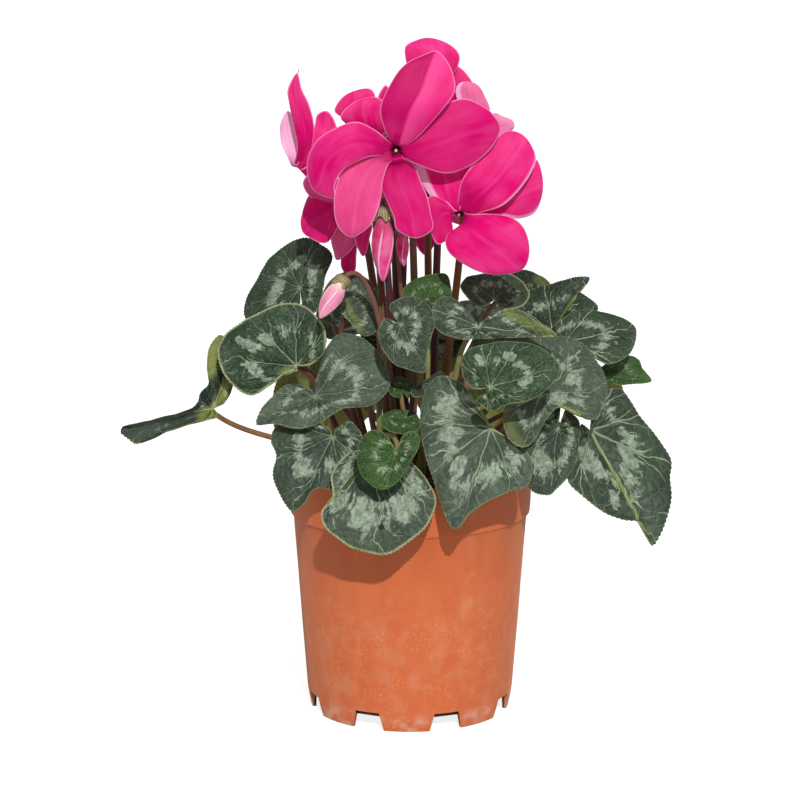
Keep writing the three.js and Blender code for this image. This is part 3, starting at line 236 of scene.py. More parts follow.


# Marks of the shade tint are painted shade, where a fold or another leaf shades the blade.
DRAWN_LEAVES = (
    LeafPlan("leaf_left_upper", ring=Ring.MIDDLE, hub=(300, 288, 5), tip=(245, 306),
        face=(-0.25, -0.85, 0.45), bends=((0, 0.2, -0.4),),
        look=LeafLook(silver=0.34, tone=0.3, veins=0.55, ring=0.5,
            stains_and_shade=(StainAndShade(Tint.SILVER, ((272, 300), (281, 284)), 5.5),
                    StainAndShade(Tint.SILVER, ((297, 264), (304, 258)), 4.0),
                    StainAndShade(Tint.SILVER, ((312, 268), (313, 281)), 4.5))),
        edge=((303, 315), (317, 312), (322, 296), (325, 278), (333, 256), (320, 243), (304, 237),
        (284, 246), (268, 259), (256, 280), (245, 300), (244, 318), (262, 330), (284, 331), (300, 318))),
    LeafPlan("leaf_left_middle", ring=Ring.OUTER, hub=(297, 366, -27), tip=(217, 358),
        face=(-0.1, -0.93, 0.35), bends=((-90, 0.3, -0.3),),
        look=LeafLook(silver=0.3, tone=0.0, veins=0.62, ring=0.55, rim=1.3, fresh=0.12,
            stains_and_shade=(StainAndShade(Tint.SILVER, ((240, 341), (249, 345)), 5.0),
                    StainAndShade(Tint.SILVER, ((264, 338), (271, 341)), 5.0),
                    StainAndShade(Tint.SILVER, ((248, 365), (258, 372)), 5.0),
                    StainAndShade(Tint.FRESH, ((284, 374), (302, 369)), 5.0))),
        edge=((309, 366), (323, 354), (327, 340), (323, 324), (310, 309), (293, 303), (272, 306),
        (248, 317), (227, 331), (218, 346), (218, 361), (224, 376), (236, 389), (252, 396), (268, 387),
        (282, 377), (298, 371))),
    LeafPlan("leaf_left_folded", ring=Ring.OUTER, hub=(315, 397, -46), tip=(391, 382),
        face=(0.1, -0.8, 0.6),
        look=LeafLook(silver=0.38, tone=1.0, veins=0.6, ring=0.55,
            stains_and_shade=(StainAndShade(Tint.SILVER, ((330, 375), (338, 366)), 5.0, 0.7),
                    StainAndShade(Tint.SHADE, ((318, 350), (322, 392)), 8.0, 0.6),
                    StainAndShade(Tint.SHADE, ((262, 421), (300, 408), (324, 398)), 5.0, 0.4))),
        edge=((313, 390), (299, 385), (284, 386), (271, 397), (260, 410), (256, 425), (275, 424),
        (298, 429), (321, 423), (342, 409), (370, 406), (389, 391), (390, 374), (378, 350), (360, 336),
        (340, 334), (328, 345), (321, 362), (318, 380))),
    LeafPlan("leaf_left_far", ring=Ring.OUTER, hub=(214, 408, -20), tip=(119, 429), face=(0.1, -0.85, 0.5),
        wave=0, twist=7, bow=(0, 0, -14),
        look=LeafLook(silver=0.1, tone=0.0, veins=0.7,
            stains_and_shade=(StainAndShade(Tint.FRESH, ((216, 334), (210, 352), (210, 372)), 8.0),
                    StainAndShade(Tint.FRESH, ((232, 372), (226, 396), (216, 412), (203, 418)), 7.0),
                    StainAndShade(Tint.SHADE, ((196, 402), (210, 388), (226, 368)), 5.0, 0.8),
                    StainAndShade(Tint.SHADE, ((112, 430), (150, 421), (190, 411)), 9.0))),
        edge=((224, 404), (232, 390), (235, 370), (230, 346), (220, 334), (209, 347), (207, 366),
        (209, 380), (199, 395), (194, 407), (176, 414), (142, 426), (118, 429), (130, 439), (140, 443),
        (152, 436), (176, 429), (203, 421), (219, 418))),
    LeafPlan("leaf_left_low", ring=Ring.OUTER, hub=(333, 437, -53), tip=(291, 512), face=(-0.15, -0.9, 0.4),
        look=LeafLook(silver=0.5, tone=0.5, veins=0.5, ring=0.55),
        edge=((328, 427), (300, 417), (277, 424), (270, 440), (276, 455), (272, 473), (277, 491),
        (291, 512), (304, 505), (316, 490), (341, 490), (360, 474), (366, 453), (361, 433), (350, 421),
        (338, 427))),
    LeafPlan("leaf_front_low", ring=Ring.OUTER, hub=(372, 453, -63), tip=(384, 556), face=(0, -0.9, 0.42),
        look=LeafLook(silver=0.72, tone=0.5, veins=0.55, ring=0.64, rim=1.2, hole=(381, 527, 1.5)),
        edge=((366, 448), (346, 455), (331, 475), (332, 498), (321, 512), (325, 529), (342, 543),
        (361, 552), (384, 556), (406, 546), (427, 527), (437, 503), (430, 484), (415, 465), (396, 450),
        (379, 447))),
    LeafPlan("leaf_front_small", ring=Ring.MIDDLE, hub=(396, 453, -82), tip=(384, 490),
        face=(-0.1, -0.98, 0.2), young=True,
        look=LeafLook(silver=0.42, tone=0.0, veins=0.6, ring=0.5),
        edge=((393, 445), (387, 435), (378, 430), (368, 431), (360, 441), (356, 456), (360, 473),
        (371, 486), (384, 490), (398, 482), (410, 464), (419, 448), (420, 438), (413, 431), (404, 434),
        (399, 444))),
    LeafPlan("leaf_front_right", ring=Ring.OUTER, hub=(491, 428, -60), tip=(458, 530),
        face=(-0.05, -0.88, 0.47),
        look=LeafLook(silver=0.7, tone=0.7, veins=0.6, ring=0.6),
        edge=((486, 420), (471, 392), (456, 379), (440, 375), (427, 386), (420, 411), (421, 436),
        (426, 462), (436, 492), (442, 511), (450, 527), (459, 529), (470, 514), (488, 502), (509, 492),
        (528, 486), (533, 466), (527, 451), (512, 446), (501, 439), (496, 431))),
    LeafPlan("leaf_right_round", ring=Ring.MIDDLE, hub=(490, 388, -72), tip=(560, 366),
        face=(0.05, -0.85, 0.5), bow=(4, 0, 25),
        look=LeafLook(silver=0.24, tone=0.0, veins=0.7, ring=0.55, fresh=0.3,
            stains_and_shade=(StainAndShade(Tint.SILVER, ((478, 358), (481, 362)), 3.5),
                    StainAndShade(Tint.SILVER, ((505, 355), (512, 357)), 4.0),
                    StainAndShade(Tint.SILVER, ((522, 384), (530, 380)), 3.5))),
        edge=((481, 396), (477, 403), (490, 412), (505, 406), (522, 402), (543, 393), (557, 378),
        (560, 366), (551, 353), (534, 344), (514, 341), (491, 343), (470, 348), (461, 361), (463, 377),
        (472, 389))),
    LeafPlan("leaf_right_middle", ring=Ring.OUTER, hub=(540, 396, -42), tip=(608, 388),
        face=(0.1, -0.8, 0.6), bends=((-115, 0.15, 2.6),),
        look=LeafLook(silver=0.5, tone=0.9, veins=0.7,
            stains_and_shade=(StainAndShade(Tint.SILVER, ((552, 398), (563, 398)), 6.0),
                    StainAndShade(Tint.FRESH, ((508, 408), (508, 430), (520, 444)), 5.0, 0.5))),
        edge=((528, 400), (509, 401), (503, 415), (505, 432), (514, 444), (527, 447), (537, 437),
        (545, 422), (556, 409), (572, 408), (583, 415), (591, 421), (600, 414), (607, 398), (607, 379),
        (597, 359), (584, 344), (570, 336), (550, 335), (512, 334), (474, 335), (476, 355), (500, 374),
        (526, 391))),
    LeafPlan("leaf_right_low", ring=Ring.OUTER, hub=(558, 430, -36), tip=(548, 496),
        face=(0.05, -0.9, 0.45),
        look=LeafLook(silver=0.6, tone=0.5, veins=0.4,
            stains_and_shade=(StainAndShade(Tint.SILVER, ((532, 455), (541, 464)), 8.0),)),
        edge=((561, 406), (540, 408), (524, 432), (521, 460), (524, 480), (532, 492), (548, 496),
        (557, 489), (568, 478), (576, 462), (579, 445), (580, 424), (566, 406))),
    LeafPlan("leaf_right_hanging", ring=Ring.OUTER, hub=(590, 430, -16), tip=(653, 547),
        face=(0.3, -0.85, 0.42),
        look=LeafLook(silver=0.5, tone=0.35, veins=0.7, ring=0.5,
            stains_and_shade=(StainAndShade(Tint.SILVER, ((578, 440), (590, 462)), 7.0, 0.9),
                    StainAndShade(Tint.SILVER, ((622, 448), (632, 462)), 6.0, 0.8),
                    StainAndShade(Tint.SILVER, ((612, 492), (616, 504)), 6.0, 0.8))),
        edge=((581, 424), (573, 440), (572, 462), (568, 482), (586, 500), (606, 514), (624, 521),
        (642, 524), (648, 539), (654, 547), (663, 532), (669, 514), (672, 495), (671, 478), (672, 460),
        (656, 436), (642, 417), (631, 400), (621, 389), (607, 390), (594, 398), (590, 414))),
    LeafPlan("leaf_right_small", ring=Ring.MIDDLE, hub=(609, 377, 12), tip=(652, 381), face=(0, -0.6, 0.8),
        young=True,
        look=LeafLook(silver=0.15, tone=0.1, veins=0.5),
        edge=((604, 382), (617, 385), (634, 384), (652, 381), (643, 369), (639, 359), (627, 356),
        (612, 361), (601, 367), (600, 375))),
    LeafPlan("leaf_right_upper", ring=Ring.MIDDLE, hub=(565, 342, -2), tip=(637, 330),
        face=(0.2, -0.7, 0.68),
        look=LeafLook(silver=0.36, tone=0.3, veins=0.9),
        edge=((567, 349), (585, 352), (597, 359), (607, 364), (618, 362), (630, 354), (636, 342),
        (637, 330), (631, 321), (620, 315), (601, 311), (584, 310), (567, 316), (553, 326), (549, 337),
        (557, 344))),
    LeafPlan("leaf_right_veined", ring=Ring.MIDDLE, hub=(552, 331, 20), tip=(589, 278),
        face=(-0.2, -0.75, 0.6),
        look=LeafLook(silver=0.3, tone=0.15, veins=0.95,
            stains_and_shade=(StainAndShade(Tint.SHADE, ((556, 322), (573, 293)), 4.0, 0.8),)),
        edge=((557, 338), (576, 334), (593, 320), (599, 306), (588, 297), (577, 290), (579, 284),
        (590, 278), (576, 276), (562, 280), (550, 284), (536, 287), (518, 296), (503, 311), (512, 326),
        (538, 333))),
    LeafPlan("leaf_right_behind", ring=Ring.MIDDLE, hub=(530, 304, 38), tip=(526, 269),
        face=(0.1, -0.75, 0.65),
        look=LeafLook(silver=0.1, tone=0.0, veins=0.3,
            stains_and_shade=(StainAndShade(Tint.FRESH, ((538, 280), (549, 288)), 5.0, 0.4),)),
        edge=((536, 312), (549, 304), (553, 290), (545, 278), (526, 270), (510, 270), (501, 278),
        (500, 292), (508, 305), (523, 312))),
    LeafPlan("leaf_centre_cupped", ring=Ring.MIDDLE, hub=(478, 327, -38), tip=(558, 336),
        face=(0, -0.85, 0.5), bends=((60, 0.1, 1.2),),
        look=LeafLook(silver=0.3, tone=0.7, veins=0.8,
            stains_and_shade=(StainAndShade(Tint.FRESH, ((506, 312), (528, 323), (557, 335)), 4.0, 0.8),)),
        edge=((473, 320), (463, 305), (450, 297), (437, 299), (431, 310), (433, 323), (442, 334),
        (465, 339), (507, 338), (536, 337), (558, 336), (543, 325), (525, 313), (508, 309), (494, 314),
        (484, 321))),
    LeafPlan("leaf_centre_upper", ring=Ring.MIDDLE, hub=(494, 300, -8), tip=(529, 295), face=(0, -0.6, 0.8),
        bends=((0, 0, 0.6),),
        look=LeafLook(silver=0.45, tone=0.5, veins=0.8, rim=0.8),
        edge=((499, 307), (510, 310), (524, 305), (530, 296), (526, 285), (515, 276), (500, 272),
        (480, 274), (466, 278), (460, 286), (466, 296), (478, 306), (488, 305))),
    LeafPlan("leaf_centre_silver", ring=Ring.MIDDLE, hub=(401, 325, -46), tip=(425, 373),
        face=(0.05, -0.85, 0.5),
        look=LeafLook(silver=0.66, tone=0.35, veins=0.6, ring=0.45),
        edge=((393, 321), (384, 319), (378, 332), (381, 347), (391, 362), (408, 370), (425, 373),
        (427, 358), (431, 340), (435, 324), (432, 309), (423, 300), (410, 296), (397, 299), (389, 306),
        (395, 316))),
    LeafPlan("leaf_centre_bright", ring=Ring.MIDDLE, hub=(427, 300, -24), tip=(446, 273),
        face=(0.05, -0.8, 0.6), bow=(9, 8, 0), young=True,
        look=LeafLook(silver=0.1, tone=0.0, veins=0.7, fresh=0.5),
        edge=((431, 305), (441, 307), (450, 303), (452, 291), (449, 278), (443, 273), (428, 275),
        (413, 280), (404, 287), (402, 296), (410, 302), (422, 304))),
    LeafPlan("leaf_young_high", ring=Ring.INNER, hub=(403, 393, -38), tip=(391, 380), face=(0, -0.6, 0.8),
        bow=(-5, -2, 0), young=True,
        look=LeafLook(silver=0.1, tone=0.1, veins=0.4),
        edge=((408, 399), (416, 394), (414, 384), (404, 378), (394, 378), (388, 386), (391, 395),
        (400, 398))),
    LeafPlan("leaf_young_low", ring=Ring.OUTER, hub=(406, 417, -58), tip=(381, 425), face=(0, -0.6, 0.8),
        young=True,
        look=LeafLook(silver=0.2, tone=0.1, veins=0.5),
        edge=((409, 411), (396, 410), (384, 414), (380, 424), (389, 432), (403, 434), (416, 432),
        (421, 424), (417, 414))),
    LeafPlan("leaf_behind_bud", ring=Ring.MIDDLE, hub=(344, 314, -14), tip=(350, 275),
        face=(0.1, -0.95, 0.25),
        look=LeafLook(silver=0.3, tone=0.8, veins=0.8,
            stains_and_shade=(StainAndShade(Tint.FRESH, ((344, 300), (361, 330)), 3.0, 0.8),)),
        edge=((351, 324), (362, 336), (376, 332), (381, 314), (378, 294), (370, 281), (358, 273),
        (343, 272), (329, 281), (321, 299), (324, 320), (337, 326))),
    LeafPlan("leaf_centre_brown", ring=Ring.MIDDLE, hub=(440, 382, -38), tip=(411, 393),
        face=(0, -0.6, 0.8), bow=(3, -1, 0),
        look=LeafLook(silver=0.1, tone=0.5, veins=0.5,
            stains_and_shade=(StainAndShade(Tint.SHADE, ((440, 378), (420, 386)), 8.0, 0.5),)),
        edge=((446, 377), (440, 371), (424, 381), (411, 391), (414, 397), (428, 395), (441, 389),
        (451, 385), (452, 379))),
)

PLAIN_LEAVES = (
    LeafPlan("leaf_back_right_upper", ring=Ring.MIDDLE, hub=(33, 58, 177), tip=(43, 85, 189),
        face=(0, -0.4, 0.9), bends=((90, 0.2, -0.4), (-90, 0.1, -0.4), (0, 0.4, -0.9)), bow=(6, 0, 6)),
    LeafPlan("leaf_back_middle", ring=Ring.MIDDLE, hub=(2, 56, 172), tip=(4, 86, 190),
        face=(0.1, -0.5, 0.85), bends=((90, 0.2, -0.4), (-90, 0.2, -0.4), (0, 0.4, -0.9))),
    LeafPlan("leaf_back_left_upper", ring=Ring.MIDDLE, hub=(-24, 48, 183), tip=(-30, 76, 196),
        face=(0, -0.4, 0.9), bends=((90, 0.2, -0.3), (-90, 0.1, -0.5), (0, 0.4, -0.9))),
    LeafPlan("leaf_back_left", ring=Ring.OUTER, hub=(-62, 30, 172), tip=(-90, 45, 158),
        face=(-0.5, 0.4, 0.75), bends=((90, 0.1, -0.4), (-90, 0.1, -0.5))),
    LeafPlan("leaf_back_right", ring=Ring.OUTER, hub=(72, 48, 160), tip=(102, 70, 138),
        face=(0.5, 0.5, 0.7), bends=((90, 0.2, -0.5), (-90, 0, 0.3), (0, 0.4, -0.4))),
    LeafPlan("leaf_back_left_low", ring=Ring.OUTER, hub=(-38, 62, 148), tip=(-52, 84, 110),
        face=(-0.4, 0.85, 0.4), bends=((90, 0.2, -0.4), (-90, 0.2, -0.4))),
    LeafPlan("leaf_back_right_low", ring=Ring.OUTER, hub=(32, 66, 147), tip=(46, 87, 108),
        face=(0.35, 0.88, 0.35), bends=((90, 0.1, -0.5), (-90, 0.2, -0.3), (0, 0.5, 0.4))),
)

# A petal's deep is painted shade, strongest where the petal lies in the shadow of others.
BLOOMS = (
    BloomPlan("bloom_front", mouth=(396, 150, -44), facing=(0, -0.97, -0.25), bow=(7.5, 6, 0),
        drawn=(
            DrawnPetal(((384, 128, 419, 136, -49), (381, 108, 438, 113, -51), (388, 91, 453, 92, -50),
                (402, 70, 452, 75, -47), (419, 58, 446, 61, -45), (436, 51, -43)), fold=-1.6),
            DrawnPetal(((420, 132, 416, 164, -46), (436, 111, 446, 173, -46), (462, 99, 471, 166, -45),
                (484, 107, 489, 150, -43), (494, 116, 497, 138, -42), (500, 127, -41)), deep=0.4),
            DrawnPetal(((375, 130, 368, 157, -49), (356, 122, 352, 164, -52), (335, 128, 341, 173, -52),
                (316, 141, 335, 186, -50), (307, 164, 334, 199, -47), (313, 189, -45))),
            DrawnPetal(((366, 156, 388, 165, -46), (346, 166, 383, 180, -47), (336, 188, 381, 198, -48),
                (334, 211, 376, 213, -49), (339, 228, 368, 227, -49), (352, 237, -48)), pale=0.1),
            DrawnPetal(((384, 168, 414, 164, -42), (380, 184, 421, 182, -42), (387, 201, 427, 197, -43),
                (394, 217, 431, 213, -44), (397, 230, 433, 229, -45), (416, 238, -45)), deep=0.5),
        ),
    ),
    BloomPlan("bloom_right", mouth=(459, 213, -34), facing=(-0.15, -0.75, -0.65),
        drawn=(
            DrawnPetal(((459, 192, 483, 212, -39), (464, 177, 503, 205, -42), (478, 160, 520, 190, -41),
                (494, 141, 531, 172, -38), (507, 131, 535, 155, -35), (524, 136, -33)), margin=0.13),
            DrawnPetal(((485, 203, 485, 216, -33), (505, 190, 503, 215, -33), (524, 168, 520, 219, -31),
                (537, 160, 536, 212, -29), (543, 186, -28)), margin=0.2),
            DrawnPetal(((438, 204, 462, 194, -37), (426, 190, 467, 178, -36), (417, 172, 471, 160, -34),
                (419, 155, 463, 146, -33), (442, 141, -32)), margin=-0.42),
            DrawnPetal(((447, 236, 487, 214, -40), (449, 253, 508, 216, -44), (468, 267, 523, 227, -46),
                (490, 274, 530, 246, -46), (508, 274, 528, 261, -45), (521, 270, -44))),
            DrawnPetal(((445, 200, 452, 224, -38), (431, 196, 453, 231, -38), (425, 209, 450, 238, -38),
                (436, 243, -38)), deep=0.5),
        ),
    ),
    BloomPlan("bloom_top", mouth=(430, 114, 14), facing=(0.1, -0.35, -0.93), bow=(1, 3, 0),
        drawn=(
            DrawnPetal(((412, 82, 448, 84, 7), (406, 62, 458, 68, 4), (405, 47, 459, 54, 4),
                (415, 41, 446, 43, 6), (429, 38, 8))),
            DrawnPetal(((446, 84, 458, 106, 11), (452, 67, 471, 95, 9), (459, 67, 474, 87, 9),
                (468, 76, 9))),
        ),
        ruled=(
            RuledPetal(205, 160, 19, 13, 15, 3),
            RuledPetal(338, 158, 26, 15, 15, 3),
            RuledPetal(12, 158, 21, 14, 15, 3),
        ),
    ),
    BloomPlan("bloom_left", mouth=(303, 168, -8), facing=(-0.5, -0.4, -0.77), thread=((297, 76, -14),
        (297, 74, -14), (299, 72, -14), (298.5, 69, -14)),
        drawn=(
            DrawnPetal(((297, 145, 313, 143, -18), (293, 125, 314, 124, -19), (289, 105, 309, 105, -18),
                (288, 89, 302, 90, -16), (297, 73, -14)), deep=0.35),
            DrawnPetal(((287, 155, 299, 152, -11), (280, 138, 299, 138, -9), (280, 124, 296, 124, -8),
                (288, 111, -8)), pale=0.9),
            DrawnPetal(((309, 141, 324, 149, -17), (314, 126, 336, 135, -14), (317, 115, 335, 122, -13),
                (327, 111, -13))),
            DrawnPetal(((318, 160, 320, 176, -15), (335, 158, 338, 178, -14), (348, 168, -13))),
        ),
        ruled=(
            RuledPetal(215, 150, 26, 20, 15, 0),
        ),
    ),
    BloomPlan("bloom_left_low", mouth=(345, 205, -12), facing=(-0.35, -0.4, -0.85),
        drawn=(
            DrawnPetal(((325, 198, 338, 226, -15), (309, 195, 328, 242, -16), (301, 216, 315, 240, -16),
                (303, 232, -15)), deep=0.6),
            DrawnPetal(((334, 226, 357, 223, -12), (331, 240, 359, 238, -12), (333, 252, 352, 249, -11),
                (338, 260, -10)), pale=0.15, deep=0.4),
            DrawnPetal(((354, 228, 371, 222, -17), (355, 240, 370, 238, -18), (359, 251, 367, 251, -18),
                (363, 256, -17)), deep=0.3),
            DrawnPetal(((343, 236, 357, 236, -6), (341, 256, 356, 257, -5), (342, 268, 355, 270, -5),
                (350, 279, -5)), deep=0.9),
        ),
        ruled=(
            RuledPetal(90, 100, 28, 22, 0, 10),
        ),
    ),
    BloomPlan("bloom_back_left", mouth=(364, 140, 26), facing=(-0.25, -0.35, -0.9),
        drawn=(
            DrawnPetal(((344, 121, 373, 112, 16), (334, 111, 375, 98, 15), (342, 98, 370, 89, 15),
                (355, 91, 16))),
            DrawnPetal(((347, 126, 387, 130, 12), (341, 116, 386, 106, 10), (352, 104, 378, 98, 10),
                (366, 98, 11))),
            DrawnPetal(((375, 108, 388, 108, 18), (379, 94, 390, 94, 16), (386, 85, 16))),
        ),
        ruled=(
            RuledPetal(200, 145, 28, 18, 15, 5),
            RuledPetal(340, 148, 28, 18, 15, 5),
        ),
    ),
    BloomPlan("bloom_back_right", mouth=(478, 141, 18), facing=(0.4, -0.3, -0.87),
        drawn=(
            DrawnPetal(((462, 112, 490, 112, 4), (456, 93, 486, 98, 3), (459, 84, 479, 86, 3),
                (469, 82, 4)), pale=0.3, margin=-0.4),
            DrawnPetal(((492, 115, 500, 136, 15), (502, 116, 513, 130, 15), (513, 121, 15)), pale=0.5),
        ),
        ruled=(
            RuledPetal(213, 148, 22, 15, 15, 5),
            RuledPetal(338, 150, 28, 20, 15, 5),
        ),
    ),
    BloomPlan("bloom_back", mouth=(424, 190, 46), facing=(0.1, 0.9, -0.4), bow=(-7.5, 0, 0),
        drawn=(
            DrawnPetal(((413, 218, 437, 218, 50), (413, 238, 437, 238, 50), (425, 255, 50)), deep=0.8),
        ),
        ruled=(
            RuledPetal(60, 105, 40, 30, 15, 0),
            RuledPetal(5, 110, 36, 30, 15, 5),
            RuledPetal(130, 100, 40, 30, 15, 5),
            RuledPetal(190, 100, 38, 28, 15, 5),
        ),
    ),
)

BUDS = (
    BudPlan("bud_long", mouth=(-12.8, -34, 240), facing=(0, -0.08, -1), length=33, girth=5.6, twist=60,
        bow=(-1, 0, 0)),
    BudPlan("bud_small", mouth=(-35.3, -34, 210.2), facing=(-0.5, -0.25, -0.8), length=21.5, girth=4.8,
        twist=50, ring=Ring.INNER),
    BudPlan("bud_slim", mouth=(-4, -23, 234.2), facing=(0.08, -0.16, -1), length=18, girth=3.2, twist=70,
        bow=(-4, 0, 0)),
)


@dataclass(frozen=True)
class Drawing:
    """The drawing that the front of the plant is laid out on, and the eye that sees it."""

    eye: Triple = (-4.9, -1300.0, 422.0)
    pitch: float = 11.73
    reach: float = 2740.0
    size: float = 800.0

    def sight(self, across: float, down: float) -> Vector:
        """The way from the eye through a place on the drawing."""
        pitch = math.radians(self.pitch)
        forward = Vector((0, math.cos(pitch), -math.sin(pitch)))
        upward = Vector((0, math.sin(pitch), math.cos(pitch)))
        middle = self.size / 2
        return forward * self.reach + Vector((1, 0, 0)) * (across - middle) + upward * (middle - down)

    def at_depth(self, across: float, down: float, depth: float) -> Vector:
        """A place thrown onto the upright plane at a depth behind the pot's axis."""
        way = self.sight(across, down)
        return Vector(self.eye) + way * ((depth - self.eye[1]) / way.y)

    def on_plane(self, spot: Pair, point: Vector, face: Vector) -> Vector:
        """A place thrown onto the plane through a point."""
        way = self.sight(*spot)
        eye = Vector(self.eye)
        return eye + way * ((point - eye).dot(face) / way.dot(face))

    def seen_at(self, points: np.ndarray) -> np.ndarray:
        """Where on the drawing each point is seen, as across and down."""
        pitch = math.radians(self.pitch)
        away = points - np.array(self.eye)
        deep = away[:, 1] * math.cos(pitch) - away[:, 2] * math.sin(pitch)
        high = away[:, 1] * math.sin(pitch) + away[:, 2] * math.cos(pitch)
        middle = self.size / 2
        return np.stack([middle + self.reach * away[:, 0] / deep, middle - self.reach * high / deep], axis=1)


DRAWING = Drawing()
UP = Vector((0, 0, 1))
LEAST_RADIUS = 0.4
CROWN = 117.5
ROOT_DEPTH = 5.0
NO_SPOT = (9.0, 9.0, 0.0)
ACROSS = (-1.0, -0.965, -0.9, -0.78, -0.6, -0.4, -0.2, 0.0, 0.2, 0.4, 0.6, 0.78, 0.9, 0.965, 1.0)


def pot_middle() -> Vector:
    """The middle of the pot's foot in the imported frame, in millimetres."""
    low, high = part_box("pot")
    return Vector(((low.x + high.x) / 2, (low.y + high.y) / 2, 0)) / MM


ORIGIN = pot_middle()


def seated(point: Vector) -> Vector:
    """A place of the plan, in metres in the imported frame."""
    return (point + ORIGIN) * MM


def smooth(value: float, low: float = 0.0, high: float = 1.0) -> float:
    """An even rise from 0 at low to 1 at high."""
    share = min(1.0, max(0.0, (value - low) / (high - low)))
    return share * share * (3 - 2 * share)


def curve_through(points: Sequence[Sequence[float]], places: Iterable[float]) -> np.ndarray:
    """Points of a smooth curve through the given ones.

    Args:
        points: what the curve goes through.
        places: where on it, counted in points from the first.

    Returns:
        One row a place.
    """
    known = np.array(points, float)
    last = len(known) - 1
    rows = []
    for place in places:
        start = min(int(place), last - 1)
        t = place - start
        before = known[max(start - 1, 0)]
        here, there = known[start], known[start + 1]
        after = known[min(start + 2, last)]
        leave, arrive = (there - before) / 2, (after - here) / 2
        rows.append((2 * here - 2 * there + leave + arrive) * t**3
                    + (3 * there - 3 * here - 2 * leave - arrive) * t**2 + leave * t + here)
    return np.array(rows)


def evenly_along(points: Sequence[Sequence[float]], count: int) -> np.ndarray:
    """A number of points at even distances along the smooth curve through the given ones."""
    fine = curve_through(points, np.linspace(0, len(points) - 1, 24 * len(points)))
    steps = np.linalg.norm(np.diff(fine, axis=0), axis=1)
    gone = np.concatenate([[0], np.cumsum(steps)])
    wanted = np.linspace(0, gone[-1], count)
    return np.stack([np.interp(wanted, gone, fine[:, k]) for k in range(fine.shape[1])], axis=1)


def deselect() -> None:
    """Leaves edit mode and selects nothing."""
    if bpy.context.object is not None and bpy.context.object.mode != "OBJECT":
        bpy.ops.object.mode_set(mode="OBJECT")
    bpy.ops.object.select_all(action="DESELECT")


def pick(piece: Piece) -> None:
    """Selects one piece alone and makes it the active one."""
    deselect()
    piece.select_set(True)
    bpy.context.view_layer.objects.active = piece


def smoothed(piece: Piece) -> Piece:
    """The piece, shaded as one smooth skin."""
    pick(piece)
    bpy.ops.object.shade_smooth()
    return piece


def edit_all() -> None:
    """Goes into edit mode with everything selected."""
    bpy.ops.object.mode_set(mode="EDIT")
    bpy.ops.mesh.select_all(action="SELECT")


def settle(piece: Piece, name: str) -> Piece:
    """Names a new piece and puts its place into its mesh."""
    pick(piece)
    bpy.ops.object.transform_apply(location=True, rotation=True, scale=True)
    piece.name = name
    piece.data.name = name
    return piece


def carry(piece: Piece, name: str, values: np.ndarray) -> None:
    """Gives each point of a piece three numbers that its finish reads."""
    attribute = piece.data.attributes.new(name, "FLOAT_VECTOR", "POINT")
    attribute.data.foreach_set("vector", np.asarray(values, np.float32).ravel())


def dress(piece: Piece, slot: Slot, material: bpy.types.Material, *nodes: str) -> Piece:
    """Gives a piece its finish and lets it stand for its solids.

    Args:
        piece: the finished piece.
        slot: the record's slot of its finish; not used.
        material: its finish.
        nodes: the solids that it stands for.

    Returns:
        The same piece.
    """
    piece.data.materials.clear()
    piece.data.materials.append(material)
    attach(piece, ROOT)
    if nodes:
        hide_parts(*nodes)
    LOG.info("%s: %d faces", piece.name, len(piece.data.polygons))
    return piece


def mesh_piece(name: str, points: np.ndarray, faces: Sequence[Sequence[int]]) -> Piece:
    """A smooth piece from points in metres and faces."""
    data = bpy.data.meshes.new(name)
    data.from_pydata(points.tolist(), [], [list(face) for face in faces])
    data.update()
    piece = bpy.data.objects.new(name, data)
    bpy.context.scene.collection.objects.link(piece)
    return smoothed(piece)


def line_distance(points: np.ndarray, line: Sequence[Sequence[float]], closed: bool = False) -> np.ndarray:
    """How far each point lies from a line of straight steps."""
    starts = np.array(line, float)
    ends = np.roll(starts, -1, axis=0)
    if not closed:
        starts, ends = starts[: max(1, len(starts) - 1)], ends[: max(1, len(ends) - 1)]
    nearest = np.full(len(points), 1e9)
    for start, end in zip(starts, ends):
        way = end - start
        share = np.clip(((points - start) @ way) / max(float(way @ way), 1e-9), 0, 1)
        gap = np.linalg.norm(points - start - share[:, None] * way, axis=1)
        nearest = np.minimum(nearest, gap)
    return nearest


def strips(first: int, width: int, rows: int) -> Faces:
    """Faces between rows of points, each as wide, from the point with the first number on."""
    corners = [first + row * width + i for row in range(rows - 1) for i in range(width - 1)]
    return [(corner, corner + width, corner + width + 1, corner + 1) for corner in corners]


